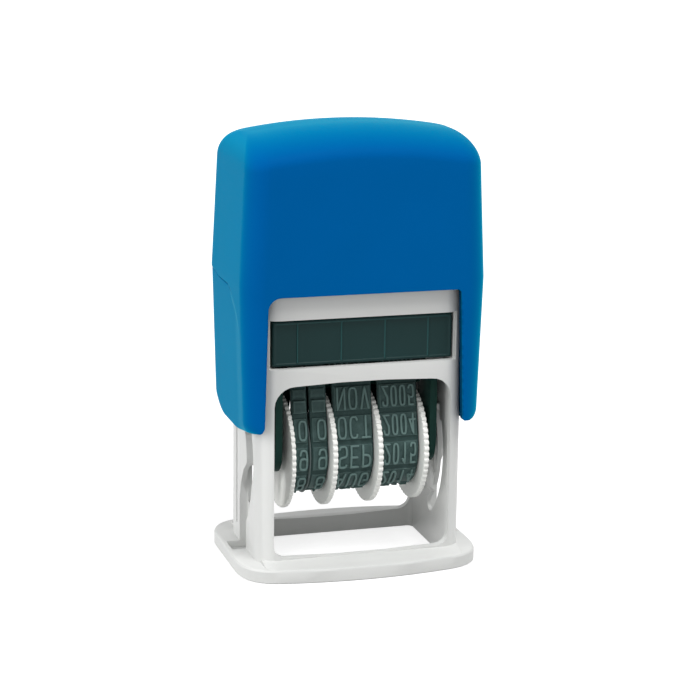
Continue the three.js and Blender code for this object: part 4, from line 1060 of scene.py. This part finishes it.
# One tooth of a thumb wheel: places in its pitch, and the depth there from its tip
TOOTH = np.array([(-0.5, 1), (-0.42, 0.97), (-0.36, 0.84), (-0.3, 0.5), (-0.26, 0.16),
                  (-0.2, 0.02), (0, 0), (0.2, 0.02), (0.26, 0.16), (0.3, 0.5), (0.36, 0.84),
                  (0.42, 0.97)])


def turned(along, radius, angle):
    """A closed section turned round the shaft, by its places along the shaft and its radii,
    which may differ from angle to angle."""
    angle = angle[:, None]
    return surface(grid(along, radius * np.sin(angle), SHAFT_Z + radius * np.cos(angle)),
                   wrap_rows=True, wrap_columns=True)


def wheel_patch(face, back, drum_end, rim, count, depth):
    """A thumb wheel: a section turned round the shaft. The section is a disc with eased
    edges and a drum that carries the band; out from the root of the teeth its radius
    follows a row of square, slightly rounded teeth as it turns."""
    wide, drum = abs(back - face), abs(drum_end - face)
    root = rim - depth - 0.1
    half = [(0, BORE, 0), (0, 3.2, 0), (0, 5.4, 0), (0, 7.4, 0), (0, root - 0.5, 0),
            (0, root, 0), (0, rim - 0.09, 1), (0.03, rim - 0.03, 1), (0.1, rim, 1)]
    other = [(wide - a, r, t) for a, r, t in half[:2:-1]]
    section = [*half, (wide / 2, rim, 1), *other, (wide, DRUM_RADIUS + 0.25, 0),
               (wide + 0.06, DRUM_RADIUS + 0.06, 0), (wide + 0.2, DRUM_RADIUS, 0),
               (drum, DRUM_RADIUS, 0), (drum, BORE, 0)]
    along, radius, toothed = np.array(section, float).T
    angle = ((np.arange(count)[:, None] + TOOTH[:, 0]) * 2 * math.pi / count).ravel()
    tooth = -np.tile(TOOTH[:, 1], count)[:, None] * depth
    return turned(face + np.sign(back - face) * along, radius + toothed * tooth, angle)


def disc_patch(left, right, rim):
    """The divider: a section turned round the shaft, a disc that thins towards its rounded
    rim."""
    section = [(0.5, BORE), (0.5, rim * 0.5), (0.5, rim * 0.8), (0.42, rim - 0.8),
               (0.3, rim - 0.2), (0.2, rim - 0.05), (0.0, rim)]
    section += [(-a, r) for a, r in section[-2::-1]]
    along, radius = np.array(section).T
    return turned((left + right) / 2 + (right - left) * along, radius,
                  np.linspace(0, 2 * math.pi, 160, endpoint=False))


class STAMP_OT_wheels(bpy.types.Operator):
    """Make the four toothed thumb wheels with their drums"""
    bl_idname = "stamp.wheels"
    bl_label = "Thumb Wheels"

    def execute(self, context):
        sizes = context.scene.stamp_sizes
        wide = sizes.wheel_width / MM
        for kind in BANDS:
            low, high = extent(f"{kind}_wheel")
            face, back, drum_end = high[0], high[0] - wide, low[0]
            if kind == "day_tens":
                face, back, drum_end = low[0] + FIRST_SET_BACK, low[0] + wide, high[0]
            wheel = wheel_patch(face, back, drum_end, (high[2] - low[2]) / 2,
                                sizes.tooth_count, sizes.tooth_depth / MM)
            piece(f"{kind}_thumb_wheel", [wheel], "wheel", f"{kind}_dial",
                  [f"{kind}_wheel"], sharp=38.0)
        return {"FINISHED"}


class STAMP_OT_cage(bpy.types.Operator):
    """Finish the date unit's cage: plates, platen bar, divider, pins, shaft and clips"""
    bl_idname = "stamp.cage"
    bl_label = "Cage and Shaft"

    def execute(self, context):
        width = context.scene.stamp_sizes.edge_round
        for side in ("left", "right"):
            softened(f"cage_plate_{side}", f"cage_end_{side}", "cage", "date_unit",
                     width / 2)
            dress(f"guide_pin_{side}", "cage")
            dress(f"shaft_clip_{side}", "steel")
            softened(f"swivel_shoe_{side}", f"swivel_block_{side}", "frame", "swivel",
                     width / 2)
        softened("platen_bar", "platen", "cage", "date_unit", width)
        low, high = extent("band_divider")
        piece("divider_disc", [disc_patch(low[0], high[0], (high[2] - low[2]) / 2)],
              "divider", "date_unit", ["band_divider"])
        dress("wheel_shaft", "steel")
        return {"FINISHED"}


# Ink and spring

# The cartridge's front: width of its rim, depth of the panel behind it, and the ribs'
# middles and half width
RIM_WIDTH = 0.5
PANEL_DEPTH = 0.14
RIBS = [(i - 1.5) * 7.6 for i in range(4)]
RIB_HALF = 0.09
EDGE_INSETS = np.array([0, 0.15, 0.5])


def nearest_side(x, z, low, high):
    """Distance from a place on a box's front to the nearest of its four sides."""
    return np.minimum(np.minimum(x - low[0], high[0] - x), np.minimum(z - low[2], high[2] - z))


def box_loft(low, high, relief, light, steps_x, steps_z, edge):
    """A tray: front and back are grids over x and z pushed out by a relief, and the four
    sides join them. At its border each grid draws back along a quarter circle. The front
    carries the shares of painted highlight that light gives, the rest none."""
    x, z = (np.concatenate([low[i] + edge * EDGE_INSETS, steps,
                            high[i] - edge * EDGE_INSETS[::-1]])
            for i, steps in ((0, steps_x), (2, steps_z)))
    x, z = np.meshgrid(x, z)
    inward = edge * quarter(1 - nearest_side(x, z, low, high) / edge) + relief(x, z)
    front, back = grid(x, low[1] + inward, z), grid(x, high[1] - inward, z)
    share = np.linspace(0, 1, 6)[:, None, None]
    sides = [between(front[line], back[line], share)
             for line in (0, -1, (slice(None), 0), (slice(None), -1))]
    return [surface(front, shade=light(x, z))] + [surface(p, shade=0.0)
                                                  for p in (back, *sides)]


class STAMP_OT_cartridge(bpy.types.Operator):
    """Make the ink cartridge with its rimmed and ribbed front, and its felt pad"""
    bl_idname = "stamp.cartridge"
    bl_label = "Ink Cartridge"

    def execute(self, context):
        low, high = extent("ink_cartridge")
        inner_low, inner_high = low + RIM_WIDTH, high - RIM_WIDTH

        def relief(x, z):
            """Depth of the panel behind the rim, with ribs standing in it."""
            near = nearest_side(x, z, low, high)
            sunk = smoothstep(RIM_WIDTH - 0.08, RIM_WIDTH + 0.1, near)
            for middle in RIBS:
                sunk = sunk * smoothstep(RIB_HALF, RIB_HALF + 0.12, np.abs(x - middle))
            return PANEL_DEPTH * sunk

        def light(x, z):
            """Share of painted highlight on the ribs and on the rim's upper inner edge."""
            share = bump_at(inner_high[2] - z, 0.09) * (
                smoothstep(inner_low[0], inner_low[0] + 0.2, x)
                - smoothstep(inner_high[0] - 0.2, inner_high[0], x))
            for middle in RIBS:
                on = 1 - smoothstep(RIB_HALF - 0.02, RIB_HALF + 0.08, np.abs(x - middle))
                share = np.maximum(share, on * (z > inner_low[2]) * (z < inner_high[2]))
            return share

        near_rim = np.array([-0.2, -0.08, 0.0, 0.1, 0.3])
        near_rib = np.array([0, 0.09, 0.15, 0.21, 0.3, 0.9])
        across = np.concatenate([
            inner_low[0] + near_rim,
            inner_high[0] + [-0.3, -0.1, 0.0, 0.08, 0.2],
            np.arange(low[0] + 2.2, high[0] - 2, 1.9),
            *[middle + way * near_rib for middle in RIBS for way in (-1, 1)]])
        up = np.concatenate([
            inner_low[2] + near_rim, np.linspace(low[2] + 1.4, high[2] - 1.4, 6),
            inner_high[2] + [-0.3, -0.18, -0.09, 0.0, 0.09, 0.18]])
        tray = box_loft(low, high, relief, light, np.unique(across), np.unique(up), 0.3)
        piece("cartridge_tray", tray, "cartridge", "frame",
              ["ink_cartridge"])
        self.pad()
        return {"FINISHED"}

    @staticmethod
    def pad():
        """The felt pad: a squared oval in all three directions, its underside crowned. The
        sines and cosines of its two angles are raised to a low power, which fills the
        box."""
        low, high = extent("ink_pad")
        middle, half = (low + high) / 2, (high - low) / 2
        u = np.linspace(0, 2 * math.pi, 96, endpoint=False)
        v = np.linspace(-math.pi / 2, math.pi / 2, 33)[:, None]

        def squared(value, power):
            return np.sign(value) * np.abs(value) ** power

        level = squared(np.cos(v), 0.2)
        x = middle[0] + half[0] * squared(np.cos(u), 0.16) * level
        y = middle[1] + half[1] * squared(np.sin(u), 0.16) * level
        crown = (np.maximum(1 - ((x - middle[0]) / half[0]) ** 2, 0)
                 * np.maximum(1 - ((y - middle[1]) / half[1]) ** 2, 0))
        z = middle[2] + half[2] * squared(np.sin(v), 0.45)
        z = np.where(v < 0, z + 0.25 * (1 - crown) * -np.sin(v), z)
        made = piece("ink_felt", [surface(grid(x, y, z), wrap_columns=True)], "felt",
                     "frame", ["ink_pad"])


class STAMP_OT_spring(bpy.types.Operator):
    """Make the return spring between the frame's deck and the cap's roof"""
    bl_idname = "stamp.spring"
    bl_label = "Return Spring"

    def execute(self, context):
        """A round section carried along a helix whose first and last turn lie close. The
        wire's middle rises by little over the end turns and evenly between them."""
        sizes = context.scene.stamp_sizes
        low, high = extent("return_spring")
        wire = sizes.wire / MM
        radius = (high[0] - low[0] - wire) / 2
        turns, end_rise = sizes.spring_turns, 1.4
        t = np.linspace(0, turns, turns * 40 + 1)
        bottom, top = low[2] + wire / 2, high[2] - wire / 2
        pitch = (top - bottom - 2 * end_rise) / (turns - 2)
        height = np.select([t < 1, t > turns - 1],
                           [bottom + t * end_rise, top - (turns - t) * end_rise],
                           bottom + end_rise + (t - 1) * pitch)
        a = 2 * math.pi * t
        outward = grid(np.cos(a), np.sin(a), 0.0)
        middle = grid(radius * np.cos(a), radius * np.sin(a), height)
        upward = np.cross(outward, unit(np.gradient(middle, axis=0)))
        b = np.linspace(0, 2 * math.pi, 14, endpoint=False)[:, None]
        points = (middle[:, None] + outward[:, None] * (np.cos(b) * wire / 2)
                  + upward[:, None] * (np.sin(b) * wire / 2))
        first, last = (np.broadcast_to(middle[i], points[:1].shape) for i in (0, -1))
        points = np.concatenate([first, points, last])
        made = piece("spring_wire", [surface(points, wrap_columns=True)], "steel",
                     "frame", ["return_spring"])
        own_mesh(made)
        return {"FINISHED"}


# Stage

FLOOR_HALF = 3000.0
FLOOR_DROP = 0.02
WORLD_LEVEL = 0.5
LAMPS_AIM = (0, 0, 0.04)


def lamp(name, place, size, power):
    """A soft rectangular lamp that looks at the stamp's middle. Places are in metres."""
    data = bpy.data.lights.new(name, "AREA")
    data.shape = "RECTANGLE"
    data.size, data.size_y = size
    data.energy = power
    made = linked(name, data)
    made.location = place
    ahead = Vector(LAMPS_AIM) - Vector(place)
    made.rotation_euler = ahead.to_track_quat("-Z", "Y").to_euler()


class STAMP_OT_stage(bpy.types.Operator):
    """Set up the pale floor, the soft lamps, the white world and the camera"""
    bl_idname = "stamp.stage"
    bl_label = "Stage"

    def execute(self, context):
        scene = context.scene
        scene.view_settings.view_transform = "Standard"
        self.camera(scene)
        self.world(scene)
        self.floor(scene)
        lamp("lamp_key", (0.15, -0.48, 1.05), (0.6, 0.6), 9.0)
        lamp("lamp_side", (-0.95, -0.2, 0.4), (0.5, 0.8), 5.4)
        return {"FINISHED"}

    @staticmethod
    def camera(scene):
        """Yaw and pitch give the way ahead, which with the upright gives the way right;
        the roll turns right and up about it."""
        ahead = Vector((math.sin(YAW) * math.cos(PITCH), math.cos(YAW) * math.cos(PITCH),
                        -math.sin(PITCH)))
        right = Vector((math.cos(YAW), -math.sin(YAW), 0))
        up = right.cross(ahead)
        turned_right = right * math.cos(ROLL) + up * math.sin(ROLL)
        turned_up = up * math.cos(ROLL) - right * math.sin(ROLL)
        data = bpy.data.cameras.new("camera")
        data.sensor_width = SENSOR
        data.lens = FOCAL_PIXELS * SENSOR / PHOTO_PIXELS
        data.clip_start, data.clip_end = 0.01, 20
        camera = linked("camera", data)
        axes = Matrix((turned_right, turned_up, -ahead)).transposed().to_4x4()
        camera.matrix_world = Matrix.Translation(Vector(EYE) * MM) @ axes
        scene.camera = camera

    @staticmethod
    def world(scene):
        """Soft white light from all round; what looks at the world directly, or by a
        mirror or through glass, sees plain white."""
        look = Look(bpy.data.worlds.new("studio"))
        level = look.spread(look.white_rays(), 0.0, 1.0, WORLD_LEVEL, 1.0)
        light = look.add("Background", {"Color": (1, 1, 1, 1), "Strength": level})
        look.add("OutputWorld", {"Surface": light})
        scene.world = look.owner

    @staticmethod
    def floor(scene):
        """A wide flat sheet in a material that shows white to the camera where nothing
        shades it, and a little less so round the stamp."""
        across = np.linspace(-FLOOR_HALF, FLOOR_HALF, 40)
        sheet = surface(grid(across, across[:, None], -FLOOR_DROP))
        floor = linked("floor", joined("floor", [sheet]))
        look = new_look("pale_floor")
        tone = scene.stamp_colours.floor
        base = look.blend(look.noise(4.0), 0.3, 0.7, rgba(tone, 0.62), rgba(tone, 0.64))
        lit = look.add("BsdfDiffuse", {"Color": base})
        away = look.add("VectorMath", {0: look.place()}, output=1, operation="LENGTH")
        level = look.math("MULTIPLY", look.white_rays(),
                          look.spread(away, 0.1, 0.8, 0.72, 1.0))
        glow = look.add("Emission", {"Color": (1, 1, 1, 1), "Strength": level})
        floor.data.materials.append(look.done(look.add("AddShader", {0: lit, 1: glow})))


# Panel and running order


STEPS = (STAMP_OT_frame, STAMP_OT_cap, STAMP_OT_bands, STAMP_OT_wheels, STAMP_OT_cage,
         STAMP_OT_cartridge, STAMP_OT_spring, STAMP_OT_stage)


class STAMP_PT_panel(bpy.types.Panel):
    """Sizes, colours and building steps of the date stamp"""
    bl_label = "Date Stamp"
    bl_idname = "STAMP_PT_panel"
    bl_space_type = "VIEW_3D"
    bl_region_type = "UI"
    bl_category = "Stamp"

    def draw(self, context):
        for step in STEPS:
            self.layout.operator(step.bl_idname)
        for group in (context.scene.stamp_sizes, context.scene.stamp_colours):
            box = self.layout.box()
            for key in group.bl_rna.properties.keys():
                if key not in ("rna_type", "name"):
                    box.prop(group, key)


CLASSES = (StampSizes, StampColours, *STEPS, STAMP_PT_panel)


def register():
    for cls in CLASSES:
        bpy.utils.register_class(cls)
    bpy.types.Scene.stamp_sizes = bpy.props.PointerProperty(type=StampSizes)
    bpy.types.Scene.stamp_colours = bpy.props.PointerProperty(type=StampColours)


def unregister():
    del bpy.types.Scene.stamp_colours
    del bpy.types.Scene.stamp_sizes
    for cls in reversed(CLASSES):
        bpy.utils.unregister_class(cls)


def main():
    register()
    bpy.ops.stamp.frame()
    bpy.ops.stamp.cap()
    bpy.ops.stamp.bands()
    bpy.ops.stamp.wheels()
    bpy.ops.stamp.cage()
    bpy.ops.stamp.cartridge()
    bpy.ops.stamp.spring()
    bpy.ops.stamp.stage()


if __name__ == "__main__":
    main()
